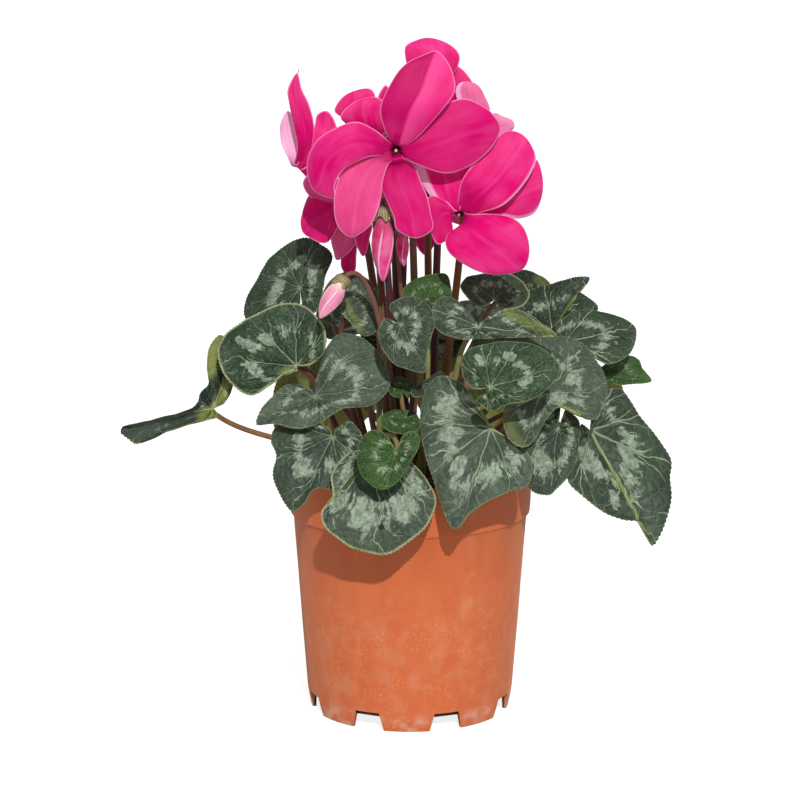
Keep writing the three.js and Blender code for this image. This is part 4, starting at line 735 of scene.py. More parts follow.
@dataclass
class Sheet:
    """A thin blade on a mid surface, in millimetres of the plan.

    places holds three numbers for each point, as the finish needs them; traits and marks hold three each that
    are the same all over the blade.
    """

    points: np.ndarray
    faces: Faces
    border: list[int]
    places: np.ndarray
    traits: Triple
    marks: Triple
    thickness: float
    edge_thickness: float
    thin_from: float = 1.2
    stains_and_shade: np.ndarray | None = None
    spot: Triple = NO_SPOT
    keep_in: float = 0.02

    def normals(self) -> np.ndarray:
        """Mean directions of the faces round each point."""
        total = np.zeros_like(self.points)
        corners = np.array([(*face, face[2])[:4] for face in self.faces])
        a, b, c, d = (self.points[corners[:, k]] for k in range(4))
        across = np.cross(b - a, c - a) + np.cross(c - a, d - a)
        for k in range(4):
            np.add.at(total, corners[:, k], across)
        length = np.linalg.norm(total, axis=1, keepdims=True)
        return total / np.maximum(length, 1e-9)

    def border_distance(self) -> np.ndarray:
        """How far each point lies from the blade's edge."""
        return line_distance(self.points, self.points[self.border], closed=True)

    def raised(self, relief: np.ndarray) -> None:
        """Lifts each point off the mid surface towards the upper side."""
        self.points = self.points + self.normals() * relief[:, None]

    def build(self, name: str) -> Piece:
        """The closed blade with its two faces and its edge.

        Args:
            name: the piece's name.

        Returns:
            The piece, whose points carry place, trim (distance from the edge, side, seed), traits and marks,
            and on a leaf its stained places with their painted shade, and its spot.
        """
        away = self.border_distance()
        share = np.clip(away / self.thin_from, 0, 1)[:, None]
        half = (self.edge_thickness + (self.thickness - self.edge_thickness) * share) / 2
        normals = self.normals()
        count = len(self.points)
        both = np.concatenate([self.points + normals * half, self.points - normals * half])
        faces = list(self.faces)
        faces += [tuple(corner + count for corner in reversed(face)) for face in self.faces]
        for here, there in zip(self.border, self.border[1:] + self.border[:1]):
            faces.append((here + count, there + count, there, here))
        low, high = (np.array(corner) for corner in CAD_BOX)
        inside = np.clip((both + np.array(ORIGIN)) * MM, low + self.keep_in * MM, high - self.keep_in * MM)
        piece = mesh_piece(name, inside, faces)
        side = np.concatenate([np.ones(count), np.zeros(count)])
        trim = np.stack([np.tile(away, 2), side, np.full(2 * count, sum(map(ord, name)) % 97 / 7)], axis=1)
        carried = {"place": np.tile(self.places, (2, 1)), "trim": trim, "traits": self.traits,
                   "marks": self.marks}
        if self.stains_and_shade is not None:
            carried |= {"stains_and_shade": np.tile(self.stains_and_shade, (2, 1)), "spot": self.spot}
        for title, values in carried.items():
            carry(piece, title, np.broadcast_to(values, (2 * count, 3)))
        return piece


def closed_rings(name: str, start: Vector, rings: list[list[Vector]], end: Vector,
                 places: list[list[Triple]]) -> Piece:
    """A closed skin over rings of points.

    Args:
        name: the piece's name.
        start: the point that closes the first ring.
        rings: as many points in each ring.
        end: the point that closes the last ring.
        places: what each point of the rings carries for its finish.

    Returns:
        The piece.
    """
    sides = len(rings[0])
    points = [start] + [point for ring in rings for point in ring] + [end]
    marks = [places[0][0]] + [mark for row in places for mark in row] + [places[-1][0]]
    last = len(points) - 1
    faces: Faces = []
    for i in range(sides):
        j = (i + 1) % sides
        faces.append((0, 1 + j, 1 + i))
        for row in range(len(rings) - 1):
            here = 1 + sides * row
            faces.append((here + i, here + j, here + sides + j, here + sides + i))
        faces.append((last, last - sides + i, last - sides + j))
    piece = mesh_piece(name, np.array([seated(point) for point in points]), faces)
    carry(piece, "place", np.array(marks))
    return piece


def turned(name: str, profile: Sequence[Pair], sides: int) -> Piece:
    """An upright form turned round the pot's axis.

    Args:
        name: the piece's name.
        profile: radius and height of each ring in millimetres, from the middle of one end to the other's.
        sides: how many sides each ring has.

    Returns:
        The closed piece.
    """
    deselect()
    middle = seated(Vector((0, 0, 0)))
    rows = [(max(radius, LEAST_RADIUS) * MM, height * MM) for radius, height in profile]
    radius, height = rows[0]
    bpy.ops.mesh.primitive_circle_add(vertices=sides, radius=radius, fill_type="NGON",
                                      location=(middle.x, middle.y, height))
    piece = bpy.context.object
    edit_all()
    for (before, low), (radius, height) in zip(rows, rows[1:]):
        bpy.ops.mesh.extrude_region_move(TRANSFORM_OT_translate={"value": (0, 0, height - low)})
        share = radius / before
        bpy.ops.transform.resize(value=(share, share, 1), center_override=(middle.x, middle.y, height))
    bpy.ops.mesh.select_all(action="SELECT")
    bpy.ops.mesh.normals_make_consistent(inside=False)
    bpy.ops.object.mode_set(mode="OBJECT")
    return settle(piece, name)


def apply_modifier(piece: Piece, kind: str, **settings: object) -> None:
    """Adds one modifier to a piece and applies it."""
    pick(piece)
    modifier = piece.modifiers.new(kind.title(), kind)
    for key, value in settings.items():
        setattr(modifier, key, value)
    bpy.ops.object.modifier_apply(modifier=modifier.name)


@dataclass
class Pot:
    """The thin plastic pot: a plain band over a tapered body, on eight feet between drain notches."""

    height: float = 122.0
    rim_radius: float = 59.4
    band_foot: float = 97.0
    body_top_radius: float = 57.0
    base_radius: float = 50.6
    foot_radius: float = 48.8
    foot_wall: float = 1.9
    wall: float = 1.3
    floor_under: float = 6.0
    floor_over: float = 7.2
    notch_height: float = 9.0
    notch_count: int = 8
    notch_low: float = 16.5
    notch_high: float = 12.5
    notch_reach: float = 12.0
    front_foot_turn: float = -2.0
    bevel: float = 0.3
    bevel_from: float = 55.0
    smooth_up_to: float = 32.0
    sides: int = 144

    def profile(self) -> list[Pair]:
        """Half section from the middle under the floor, round the outside, to the middle over the floor."""
        rim, body, base, foot = self.rim_radius, self.body_top_radius, self.base_radius, self.foot_radius
        top, band, notch, wall = self.height, self.band_foot, self.notch_height, self.wall
        brim, recess = rim - wall, foot - self.foot_wall
        return [
            (0, self.floor_under), (recess, self.floor_under), (recess, 0), (foot, 0),
            (foot + 0.9, notch / 2), (base - 0.1, notch + 0.6), (base + 2.2, 40), (base + 4.3, 70),
            (body - 0.1, band - 0.4), (body + 0.3, band + 0.2), (rim - 1, band + 1.2), (rim - 0.6, band + 6),
            (rim - 0.2, top - 3), (rim, top - 0.5), (rim - 0.3, top), (brim + 0.2, top), (brim, top - 0.5),
            (brim - 0.6, top - 10), (body - wall, band - 1), (base - wall, notch + 2),
            (base - wall - 0.4, self.floor_over), (0, self.floor_over),
        ]

    def notch(self, number: int) -> Piece:
        """One block that cuts a drain notch, wider at its foot."""
        deselect()
        bpy.ops.mesh.primitive_cube_add(size=1)
        block = bpy.context.object
        edit_all()
        size = Vector((self.notch_low, self.notch_reach, self.notch_height + 1))
        bpy.ops.transform.resize(value=size * MM)
        bpy.ops.object.mode_set(mode="OBJECT")
        for vertex in block.data.vertices:
            if vertex.co.z > 0:
                vertex.co.x *= self.notch_high / self.notch_low
        turn = math.radians(self.front_foot_turn + 360 / self.notch_count * (number + 0.5))
        out = self.foot_radius - self.foot_wall - 1.2 + self.notch_reach / 2
        middle = (self.notch_height - 1) / 2
        block.location = seated(Vector((math.sin(turn) * out, -math.cos(turn) * out, middle)))
        block.rotation_euler = (0, 0, turn)
        return block

    def build(self) -> Piece:
        """The turned pot with its notches cut and its edges softened."""
        piece = turned("pot_shell", self.profile(), self.sides)
        for number in range(self.notch_count):
            block = self.notch(number)
            apply_modifier(piece, "BOOLEAN", operation="DIFFERENCE", object=block, solver="EXACT")
            bpy.data.objects.remove(block)
        apply_modifier(piece, "BEVEL", width=self.bevel * MM, segments=2, limit_method="ANGLE",
                       angle_limit=math.radians(self.bevel_from))
        pick(piece)
        bpy.ops.object.shade_smooth_by_angle(angle=math.radians(self.smooth_up_to))
        return piece


@dataclass
class Compost:
    """Peat compost with an uneven, crumbly top."""

    level: float = 110.0
    corm_clearance: float = 27.6
    foot: float = 7.6
    top_radius: float = 56.0
    foot_radius: float = 47.0
    sides: int = 96
    crumbs: int = 420
    seed: int = 11

    def unevenness(self, x: float, y: float) -> float:
        """Height of the top over its level."""
        slow = noise.noise(Vector((x, y, 3)) * 0.06)
        lumps = noise.noise(Vector((x, y, 9)) * 0.32)
        return 1.3 * slow + 0.9 * lumps + 0.35 * noise.noise(Vector((x, y, 1)) * 1.1)

    def build(self) -> Piece:
        """The fill of the pot."""
        rings = np.linspace(self.top_radius - 0.5, 0, 26)
        profile = [(0, self.foot), (self.foot_radius, self.foot), (self.top_radius - 1.4, self.level - 6)]
        profile += [(float(radius), self.level) for radius in rings]
        piece = turned("compost", profile, self.sides)
        for vertex in piece.data.vertices:
            place = vertex.co / MM - ORIGIN
            if place.z > self.level - 1:
                vertex.co.z += self.unevenness(place.x, place.y) * MM
        return smoothed(piece)

    def crumb(self) -> tuple[np.ndarray, Faces]:
        """One crumb: points about a millimetre across, and faces."""
        deselect()
        bpy.ops.mesh.primitive_ico_sphere_add(subdivisions=1, radius=1)
        ball = bpy.context.object
        edit_all()
        bpy.ops.transform.vertex_random(offset=0.25, uniform=0.1, normal=0.0, seed=4)
        bpy.ops.object.mode_set(mode="OBJECT")
        points = np.array([vertex.co for vertex in ball.data.vertices])
        faces = [tuple(face.vertices) for face in ball.data.polygons]
        bpy.data.objects.remove(ball)
        return points, faces

    def scatter(self) -> Piece:
        """Loose crumbs on the top, all in one piece."""
        points, faces = self.crumb()
        draw = random.Random(self.seed)
        all_points, all_faces = [], []
        for number in range(self.crumbs):
            turn = draw.uniform(0, 2 * math.pi)
            radius = math.sqrt(draw.uniform((self.corm_clearance + 1.5) ** 2, (self.top_radius - 3) ** 2))
            x, y = radius * math.cos(turn), radius * math.sin(turn)
            size = draw.uniform(0.5, 1.7)
            shape = np.array([draw.uniform(0.6, 1.3), draw.uniform(0.6, 1.3), draw.uniform(0.4, 0.9)]) * size
            spin = draw.uniform(0, math.pi)
            cos, sin = math.cos(spin), math.sin(spin)
            about = np.array([[cos, -sin, 0], [sin, cos, 0], [0, 0, 1]])
            seat = np.array([x, y, self.level + self.unevenness(x, y) + 0.15 * size])
            all_points.append((points * shape) @ about.T + seat + np.array(ORIGIN))
            all_faces += [tuple(corner + number * len(points) for corner in face) for face in faces]
        return mesh_piece("compost_crumbs", np.concatenate(all_points) * MM, all_faces)


@dataclass
class Corm:
    """The flattened round corm that every stalk rises from."""

    radius: float = 27.0
    top: float = CROWN
    foot: float = 94.0
    sides: int = 96

    def build(self) -> Piece:
        """The turned corm with a rough skin and a low, knobbly crown."""
        radius, top, foot = self.radius, self.top, self.foot
        flank = [(0.0, foot), (12.0, foot + 1.2), (20.0, foot + 4), (25.0, foot + 8.5), (radius, foot + 13),
                 (radius - 0.7, top - 6.5), (radius - 2.4, top - 2.6)]
        crown = [(float(ring), top) for ring in np.linspace(radius - 5, 0, 14)]
        piece = turned("corm_body", flank + crown, self.sides)
        for vertex in piece.data.vertices:
            place = vertex.co / MM - ORIGIN
            knob = 0.55 * noise.noise(place * 0.22) + 0.35 * noise.noise(place * 0.7)
            vertex.co += vertex.normal * knob * MM
        return smoothed(piece)


@dataclass
class Stalk:
    """A stalk that leaves the crown leaning outwards and arrives at its seat in a given direction."""

    name: str
    node: str
    ring: Ring
    seat: Vector
    arrival: Vector
    hook: float
    radius: float
    swing: float = 0.0
    bow: Triple = (0.0, 0.0, 0.0)
    top_share: float = 0.8
    foot_share: float = 1.05
    rise: float = 0.42
    line_points: int = 60
    smooth_up_to: float = 50.0
    handles: tuple[Vector, ...] = field(default_factory=tuple)

    @property
    def direction(self) -> float:
        """The turn round the pot's axis that the seat lies in."""
        return math.atan2(self.seat.y, self.seat.x)

    def rise_from(self, root: Vector) -> None:
        """Lays the stalk from its root on the crown to its seat."""
        outward = Vector((root.x, root.y, 0)).normalized()
        behind = Vector((-self.arrival.x, -self.arrival.y, 0))
        aside = behind.normalized() * self.swing + Vector(self.bow)
        leaving = (UP + outward * self.ring.lean).normalized()
        span = (self.seat - root).length
        second = root + leaving * self.rise * span + aside
        third = self.seat - self.arrival * self.hook * span + aside
        self.handles = (root, second, third, self.seat)

    def middle_line(self, count: int) -> np.ndarray:
        """Points along the stalk's middle, in millimetres of the plan."""
        shares = np.linspace(0, 1, count)[:, None]
        a, b, c, d = (np.array(handle) for handle in self.handles)
        rest = 1 - shares
        return rest**3 * a + 3 * rest**2 * shares * b + 3 * rest * shares**2 * c + shares**3 * d

    def build(self) -> Piece:
        """The stalk as a round tube that narrows towards its top."""
        deselect()
        bpy.ops.curve.primitive_bezier_curve_add(location=(0, 0, 0))
        piece = bpy.context.object
        root, second, third, seat = (seated(handle) for handle in self.handles)
        first, last = piece.data.splines[0].bezier_points
        for knot in (first, last):
            knot.handle_left_type = knot.handle_right_type = "FREE"
        first.co, first.handle_left, first.handle_right = root, root * 2 - second, second
        last.co, last.handle_left, last.handle_right = seat, third, seat * 2 - third
        first.radius, last.radius = self.foot_share, self.top_share
        data = piece.data
        data.dimensions = "3D"
        data.twist_mode = "MINIMUM"
        data.resolution_u = 30
        data.bevel_depth = self.radius * MM
        data.bevel_resolution = 3
        data.use_fill_caps = True
        bpy.ops.object.convert(target="MESH")
        piece = settle(bpy.context.object, self.name)
        bpy.ops.object.shade_smooth_by_angle(angle=math.radians(self.smooth_up_to))
        line = (self.middle_line(self.line_points) + np.array(ORIGIN)) * MM
        points = np.array([vertex.co for vertex in piece.data.vertices])
        nearest = np.linalg.norm(points[:, None] - line[None], axis=2).argmin(axis=1) / (self.line_points - 1)
        turn = np.arctan2(points[:, 1] - line[0, 1], points[:, 0] - line[0, 0])
        carry(piece, "place", np.stack([turn, nearest, np.full(len(points), self.direction)], axis=1))
        return piece


def root_stalks(stalks: Sequence[Stalk]) -> None:
    """Stands the stalks of each ring evenly round it, in the order of the directions that they leave in."""
    for ring in Ring:
        members = sorted((stalk for stalk in stalks if stalk.ring is ring), key=lambda stalk: stalk.direction)
        step = 2 * math.pi / len(members)
        shift = sum(stalk.direction - i * step for i, stalk in enumerate(members)) / len(members)
        for i, stalk in enumerate(members):
            turn = shift + i * step
            x, y = ring.radius * math.cos(turn), ring.radius * math.sin(turn)
            stalk.rise_from(Vector((x, y, CROWN - ROOT_DEPTH)))


@dataclass
class Leaf:
    """A heart-shaped leaf with a fine-toothed edge, puckered between its veins."""

    plan: LeafPlan
    blade: float = 0.95
    edge_blade: float = 0.5
    stalk_radius: float = 1.55
    young_stalk_radius: float = 1.3
    lift: float = 0.75
    seat_along: float = 1.8
    seat_sink: float = 0.8
    columns: int = 161
    teeth: float = 0.009
    lobing: float = 0.014
    pucker: float = 1.1
    sway: float = 0.9
    veins: int = 9
    reaches: tuple[float, ...] = (0.07, 0.14, 0.22, 0.3, 0.38, 0.46, 0.54, 0.62, 0.7, 0.77, 0.83, 0.885, 0.93,
                                  0.965, 0.985, 1.0)

    def __post_init__(self) -> None:
        """Finds the leaf's axes, its length, and its edge in leaf lengths."""
        drawn = bool(self.plan.edge)
        self.hub = DRAWING.at_depth(*self.plan.hub) if drawn else Vector(self.plan.hub)
        self.face = Vector(self.plan.face).normalized()
        tip = DRAWING.on_plane(self.plan.tip, self.hub, self.face) if drawn else Vector(self.plan.tip)
        self.length = (tip - self.hub).length
        self.along = (tip - self.hub).normalized()
        self.face = (self.face - self.along * self.face.dot(self.along)).normalized()
        self.across = self.face.cross(self.along)
        self.edge = [self.flat(spot) for spot in self.plan.edge] or self.heart()
        self.rise = (Vector(DRAWING.eye) - self.hub).normalized() if drawn else self.face
        self.slides = 0.0 if drawn else 1.0

    def flat(self, spot: Pair) -> Pair:
        """A place of the drawing on the plane of the blade, in leaf lengths from the hub."""
        place = (DRAWING.on_plane(spot, self.hub, self.face) - self.hub) / self.length
        return (place.dot(self.along), place.dot(self.across))

    def heart(self) -> list[Pair]:
        """The edge of an even heart, in leaf lengths from the hub."""
        edge = []
        for turn in np.radians(np.linspace(-170, 170, 15)):
            reach = 0.72 + 0.23 * math.cos(turn) - 0.03 * math.cos(2 * turn) + 0.08 * math.cos(3 * turn)
            edge.append((reach * math.cos(turn), reach * math.sin(turn)))
        return edge

    def point(self, u: float, v: float, reach: float) -> Vector:
        """A point of the mid surface, from its flat place in leaf lengths."""
        out = self.plan.wave * reach**3 * math.sin(5 * math.atan2(v, u)) + self.plan.twist * max(0.0, u) * v
        along, across = u, v
        for towards, start, curl in self.plan.bends:
            cos, sin = math.cos(math.radians(towards)), math.sin(math.radians(towards))
            past = max(0.0, u * cos + v * sin - start)
            slide = (math.sin(curl * past) / curl - past) * self.slides
            along += slide * cos
            across += slide * sin
            out += (1 - math.cos(curl * past)) / curl
        return self.hub + (self.along * along + self.across * across + self.rise * out) * self.length

    def relief(self, u: float, v: float, reach: float) -> float:
        """Height of the puckered skin over the mid surface, in millimetres."""
        between = abs(math.sin(self.veins / 2 * math.atan2(v, u))) ** 1.3
        size = min(1.25, self.length / 35)
        puckered = self.pucker * size * (between - 0.5) * smooth(reach, 0.05, 0.4)
        puckered *= 1 - smooth(reach, 0.75, 1)
        spot = Vector((u * 2.6, v * 2.6, self.hub.x))
        ripple = 0.9 * smooth(reach, 0.7, 1) * noise.noise(Vector((math.atan2(v, u) * 2.4, self.hub.z, 1)))
        return puckered + self.sway * noise.noise(spot) + 0.3 * noise.noise(spot * 3.2) + size * ripple

    def edge_shift(self, column: int, angle: float, reach: float) -> float:
        """How far the edge stands off the drawn one for its lobes and teeth, in leaf lengths."""
        tooth = self.teeth * (0.0 if column % 2 else -1.2)
        lobe = self.lobing * (noise.noise(Vector((angle * 4.5, self.hub.x, self.hub.z))) - 0.4)
        return (tooth + lobe) * smooth(reach, 0.85, 1)

    def stains_and_shade(self, points: np.ndarray) -> np.ndarray:
        """How silvery and fresh green the stained places are, and how much painted shade lies there, for each
        point.
        """
        seen = DRAWING.seen_at(points)
        amounts = np.zeros((len(points), 3))
        for tinted_line in self.plan.look.stains_and_shade:
            away = line_distance(seen, tinted_line.line) / tinted_line.width
            amount = np.clip(1.5 - away, 0, 1) * tinted_line.strength
            column = list(Tint).index(tinted_line.tint)
            amounts[:, column] = np.maximum(amounts[:, column], amount)
        return amounts

    def spot(self) -> Triple:
        """The flat place and the radius of the hole in the leaf, in leaf lengths, or one outside the leaf."""
        if not self.plan.look.hole:
            return NO_SPOT
        across, down, radius = self.plan.look.hole
        return (*self.flat((across, down)), radius / self.length)

    def build(self) -> Piece:
        """The blade with its teeth and its veined relief."""
        outline = evenly_along(self.edge, self.columns)
        points, places, relief = [self.hub.copy()], [(0.0, 0.0, 0.0)], [0.0]
        for reach in self.reaches:
            for column, (u, v) in enumerate(outline):
                share = reach + self.edge_shift(column, math.atan2(v, u), reach)
                points.append(self.point(u * share, v * share, share))
                places.append((u * share, v * share, reach))
                relief.append(self.relief(u * share, v * share, reach))
        faces, border = self.weave()
        look = self.plan.look
        sheet = Sheet(np.array(points), faces, border, np.array(places), (look.silver, look.tone, look.veins),
                      (look.ring, look.rim, look.fresh), self.blade, self.edge_blade,
                      stains_and_shade=self.stains_and_shade(np.array(points)), spot=self.spot())
        sheet.raised(np.array(relief))
        return sheet.build(f"{self.plan.name}_blade")

    def weave(self) -> tuple[Faces, list[int]]:
        """Faces between the rings round the hub, and the border from the hub round the edge."""
        width, rows = self.columns, len(self.reaches)
        faces = [(0, 1 + i, 2 + i) for i in range(width - 1)] + strips(1, width, rows)
        starts = [1 + row * width for row in range(rows - 1)]
        outer = [1 + (rows - 1) * width + i for i in range(width)]
        ends = [row * width for row in range(rows - 1, 0, -1)]
        return faces, [0, *starts, *outer, *ends]

    def stalk(self) -> Stalk:
        """The stalk that carries the blade."""
        arrival = self.face * self.lift + self.along * math.sqrt(1 - self.lift**2)
        return Stalk(
            name=f"{self.plan.name}_stalk", node=self.plan.name, ring=self.plan.ring,
            seat=self.hub + self.along * self.seat_along - self.face * self.seat_sink,
            arrival=arrival.normalized(), hook=0.28, bow=self.plan.bow, top_share=0.78,
            radius=self.young_stalk_radius if self.plan.young else self.stalk_radius,
        )


@dataclass
class Flower:
    """What an open bloom and a bud share: the axes round the mouth, a cup of sepals and a stalk."""

    name: str
    mouth: Vector
    facing: Vector
    size: float
    ring: Ring
    bow: Triple
    calyx_back: float = -13.6
    calyx_bottom: float = -10.9
    stalk_radius: float = 2.05
    swing: float = 9.0
    sepals: int = 5
    sepal_taper: float = 1.6
    sides: int = 50

    def __post_init__(self) -> None:
        """Finds the right and the top of the mouth."""
        self.facing = self.facing.normalized()
        self.right = UP.cross(self.facing).normalized()
        self.top = self.facing.cross(self.right)

    def around(self, height: float, radius: float, turn: float) -> Vector:
        """A point at a height along the flower's axis, a distance from it and a turn round it."""
        outward = self.right * math.cos(turn) + self.top * math.sin(turn)
        return self.mouth + self.facing * height + outward * radius

    def skin(self, part: str, start: float, rows: Sequence[tuple[float, ...]], end: float,
             sides: int) -> Piece:
        """A closed form round the flower's axis.

        Args:
            part: what the form is.
            start: the height along the axis where it begins.
            rows: height and radius of each ring, in line with the sepals' points and then between them.
            end: the height where it closes.
            sides: how many sides each ring has.

        Returns:
            The piece.
        """
        rings, places = [], []
        for number, row in enumerate(rows):
            ring, marks = [], []
            high, wide, low, narrow = row if len(row) == 4 else row * 2
            for i in range(sides):
                turn = 2 * math.pi * i / sides
                point = (0.5 + 0.5 * math.cos(self.sepals * turn)) ** self.sepal_taper
                height, radius = low + (high - low) * point, narrow + (wide - narrow) * point
                ring.append(self.around(height * self.size, radius * self.size, turn))
                marks.append((turn, number / (len(rows) - 1), self.mouth.x))
            rings.append(ring)
            places.append(marks)
        return closed_rings(f"{self.name}_{part}", self.around(start * self.size, 0, 0), rings,
                            self.around(end * self.size, 0, 0), places)

    def calyx(self) -> Piece:
        """The cup of five pointed sepals behind the flower."""
        back = self.calyx_back
        rows = [
            (back + 0.1, 1.6), (back + 0.35, 2.7), (back + 1.4, 4.3), (-10.8, 5.5), (-9.3, 5.9, -9.7, 5.75),
            (-7.2, 6.15, -8.8, 5.8), (-5.6, 6.1, -8.2, 5.75), (-4.6, 5.9, -8.0, 5.6), (-4.7, 5.6, -8.1, 5.4),
            (-6, 5.4, -8.5, 5.1), (-8.2, 4.9, -9.2, 4.7), (-10.2, 3.9), (-10.7, 2.4),
        ]
        return self.skin("calyx", self.calyx_back, rows, self.calyx_bottom, self.sides)

    def stalk(self) -> Stalk:
        """The stalk, which hooks over behind the flower."""
        return Stalk(
            name=f"{self.name}_stalk", node=f"{self.name}_stem", ring=self.ring,
            seat=self.mouth + self.facing * (self.calyx_back + 1.2) * self.size, arrival=self.facing.copy(),
            hook=0.14, swing=self.swing * self.size, bow=self.bow, top_share=0.72,
            radius=self.stalk_radius * min(1.0, self.size + 0.1),
        )


@dataclass
class Petal:
    """A grid of rows along a petal and points across it, from its foot in the mouth to its rounded tip."""

    rows: list[list[Vector]]
    places: list[list[Triple]]
    traits: Triple
    creases: float = 0.0
    seed: float = 0.0
    petal: float = 0.7
    edge_petal: float = 0.4

    def sheet(self) -> Sheet:
        """The petal's mid surface with a sunk midrib, light ribs and a wavy edge."""
        width = len(self.rows[0])
        points = [point for row in self.rows[:-1] for point in row] + [self.rows[-1][0]]
        flat = [place for row in self.places[:-1] for place in row] + [(0.0, 1.0, 0.0)]
        count = len(self.rows) - 1
        tip = len(points) - 1
        last_row = range(tip - width, tip - 1)
        faces = strips(0, width, count) + [(corner, tip, corner + 1) for corner in last_row]
        left = [row * width for row in range(1, count)]
        right = [row * width + width - 1 for row in range(count - 1, 0, -1)]
        border = [*range(width - 1, -1, -1), *left, tip, *right]
        relief = [self.relief(t, v) for _, v, t in flat]
        sheet = Sheet(np.array(points), faces, border, np.array(flat), self.traits, (self.creases, 0.0, 0.0),
                      self.petal, self.edge_petal, 1.6)
        sheet.raised(np.array(relief))
        return sheet

    def relief(self, u: float, v: float) -> float:
        """Height over the mid surface, in millimetres."""
        open_part = smooth(v, 0.2, 0.5) * (1 - smooth(v, 0.84, 0.99))
        rib = -0.4 * math.exp(-((u / 0.12) ** 2)) + 0.12 * math.cos(u * 22 + self.seed)
        edge = 0.6 * abs(u) ** 3 * math.sin(v * 11 + self.seed + u)
        sway = 1.1 * noise.noise(Vector((u * 1.2, v * 2.2, self.seed)))
        return open_part * (rib + edge + sway + self.creases * abs(u))


@dataclass
class Bloom:
    """An open bloom: petals swept back round a small dark mouth, a stigma, a cup of sepals and a stalk."""

    plan: BloomPlan
    claw: float = 2.0
    core_ring: float = 2.5
    core_sink: float = 3.2
    layer_step: float = 0.37
    elbow_reach: float = 3.3
    elbow_forward: float = 1.3
    elbow_spread: float = 1.1
    cup: float = 0.16
    roll: float = 14.0
    reflex_end: float = 0.27
    widest: float = 0.62
    row_steps: int = 6
    tip_steps: int = 8
    ruled_steps: int = 30
    ruled_pale: float = 0.12
    thread_radius: float = 0.22

    def __post_init__(self) -> None:
        """Sets up the mouth and its axes."""
        plan = self.plan
        mouth = DRAWING.at_depth(*plan.mouth)
        self.flower = Flower(plan.name, mouth, Vector(plan.facing), 1.0, plan.ring, plan.bow)

    def drawn_petal(self, petal: DrawnPetal, layer: int) -> Petal:
        """A petal from its rows on the drawing."""
        flower = self.flower
        ends = [(DRAWING.at_depth(row[0], row[1], row[4]), DRAWING.at_depth(row[2], row[3], row[4]))
                for row in petal.rows[:-1]]
        tip = DRAWING.at_depth(*petal.rows[-1])
        outward = (ends[0][0] + ends[0][1]) / 2 - flower.mouth
        outward = (outward - flower.facing * outward.dot(flower.facing)).normalized()
        across = ends[0][1] - ends[0][0]
        across -= outward * across.dot(outward)
        across = (across - flower.facing * across.dot(flower.facing)).normalized()
        back = self.core_sink + self.layer_step * layer
        foot = flower.mouth + outward * self.core_ring - flower.facing * back
        forward = self.elbow_forward + self.layer_step * layer
        elbow = flower.mouth + outward * self.elbow_reach + flower.facing * forward
        wide = self.claw + self.elbow_spread
        lefts, rights = zip(*ends)
        left = [foot - across * self.claw, elbow - across * wide, *lefts, tip, rights[-1]]
        right = [foot + across * self.claw, elbow + across * wide, *rights, tip, lefts[-1]]
        last = len(left) - 2
        whole = np.linspace(0, last - 1, self.row_steps * (last - 1) + 1)
        steps = [*whole[:-1], *np.linspace(last - 1, last, self.tip_steps + 1)]
        return self.between_edges(curve_through(left, steps), curve_through(right, steps), steps, petal)

    def between_edges(self, left: np.ndarray, right: np.ndarray, steps: Sequence[float],
                      petal: DrawnPetal) -> Petal:
        """The grid between a petal's two edges, whose middle bulges towards the front.

        Args:
            left: points of one edge from the foot to the tip.
            right: as many points of the other edge.
            steps: where each of them lies, counted in rows of the plan.
            petal: the plan.

        Returns:
            The petal.
        """
        rows, places = [], []
        lengths = np.linalg.norm(np.diff((left + right) / 2, axis=0), axis=1)
        gone = np.concatenate([[0], np.cumsum(lengths)]) / lengths.sum()
        widest = float(np.linalg.norm(right - left, axis=1).max())
        for start, end, step, along in zip(left, right, steps, gone):
            bulge = self.cup / 2 * float(np.linalg.norm(end - start)) * min(1.0, max(0.0, step - 1))
            row = []
            for t in ACROSS:
                point = Vector(start * (1 - t) / 2 + end * (1 + t) / 2)
                row.append(point + Vector((0, 1, 0)) * bulge * (t * t - 0.5))
            rows.append(row)
            share = float(np.linalg.norm(end - start)) / widest
            places.append([(t * share, float(along), t) for t in ACROSS])
        return Petal(rows, places, (petal.pale, petal.margin, petal.deep), petal.fold,
                     seed=self.flower.mouth.x + float(left[-1][0]) * 0.3)

    def ruled_petal(self, petal: RuledPetal) -> Petal:
        """A petal by rule: out of the mouth, reflexed, then nearly straight."""
        flower = self.flower
        turn = math.radians(petal.turn)
        outward = flower.right * math.cos(turn) + flower.top * math.sin(turn)
        across = flower.facing.cross(outward)
        place = flower.mouth + outward * self.core_ring - flower.facing * self.core_sink
        rows, places = [], []
        for step in range(self.ruled_steps + 1):
            share = step / self.ruled_steps
            bent = math.radians(petal.sweep * smooth(share, 0, self.reflex_end) + petal.curl * share)
            tangent = flower.facing * math.cos(bent) + outward * math.sin(bent)
            roll = math.radians(self.roll + petal.twist * share)
            side = across * math.cos(roll) + tangent.cross(across) * math.sin(roll)
            out = tangent.cross(side)
            half = self.half_width(share, petal.width)
            rows.append([place + side * (t * half) + out * (self.cup * half * t * t * share) for t in ACROSS])
            places.append([(2 * t * half / petal.width, share, t) for t in ACROSS])
            place = place + tangent * (petal.length / self.ruled_steps)
        # every petal by rule gets a little painted shade (deep 0.15)
        return Petal(rows, places, (self.ruled_pale, 0.0, 0.15), seed=petal.turn)

    def half_width(self, share: float, width: float) -> float:
        """Half the width of a petal by rule at a share of its length."""
        if share < self.widest:
            return self.claw + (width / 2 - self.claw) * math.sin(math.pi / 2 * share / self.widest)
        past = (share - self.widest) / (1 - self.widest)
        return width / 2 * math.sqrt(max(0.0, 1 - past * past))

    def petals(self) -> list[Piece]:
        """All petals of the bloom, each a piece of its own."""
        grids = [self.drawn_petal(petal, layer) for layer, petal in enumerate(self.plan.drawn)]
        grids += [self.ruled_petal(petal) for petal in self.plan.ruled]
        return [grid.sheet().build(f"{self.plan.name}_petal_{i + 1}") for i, grid in enumerate(grids)]

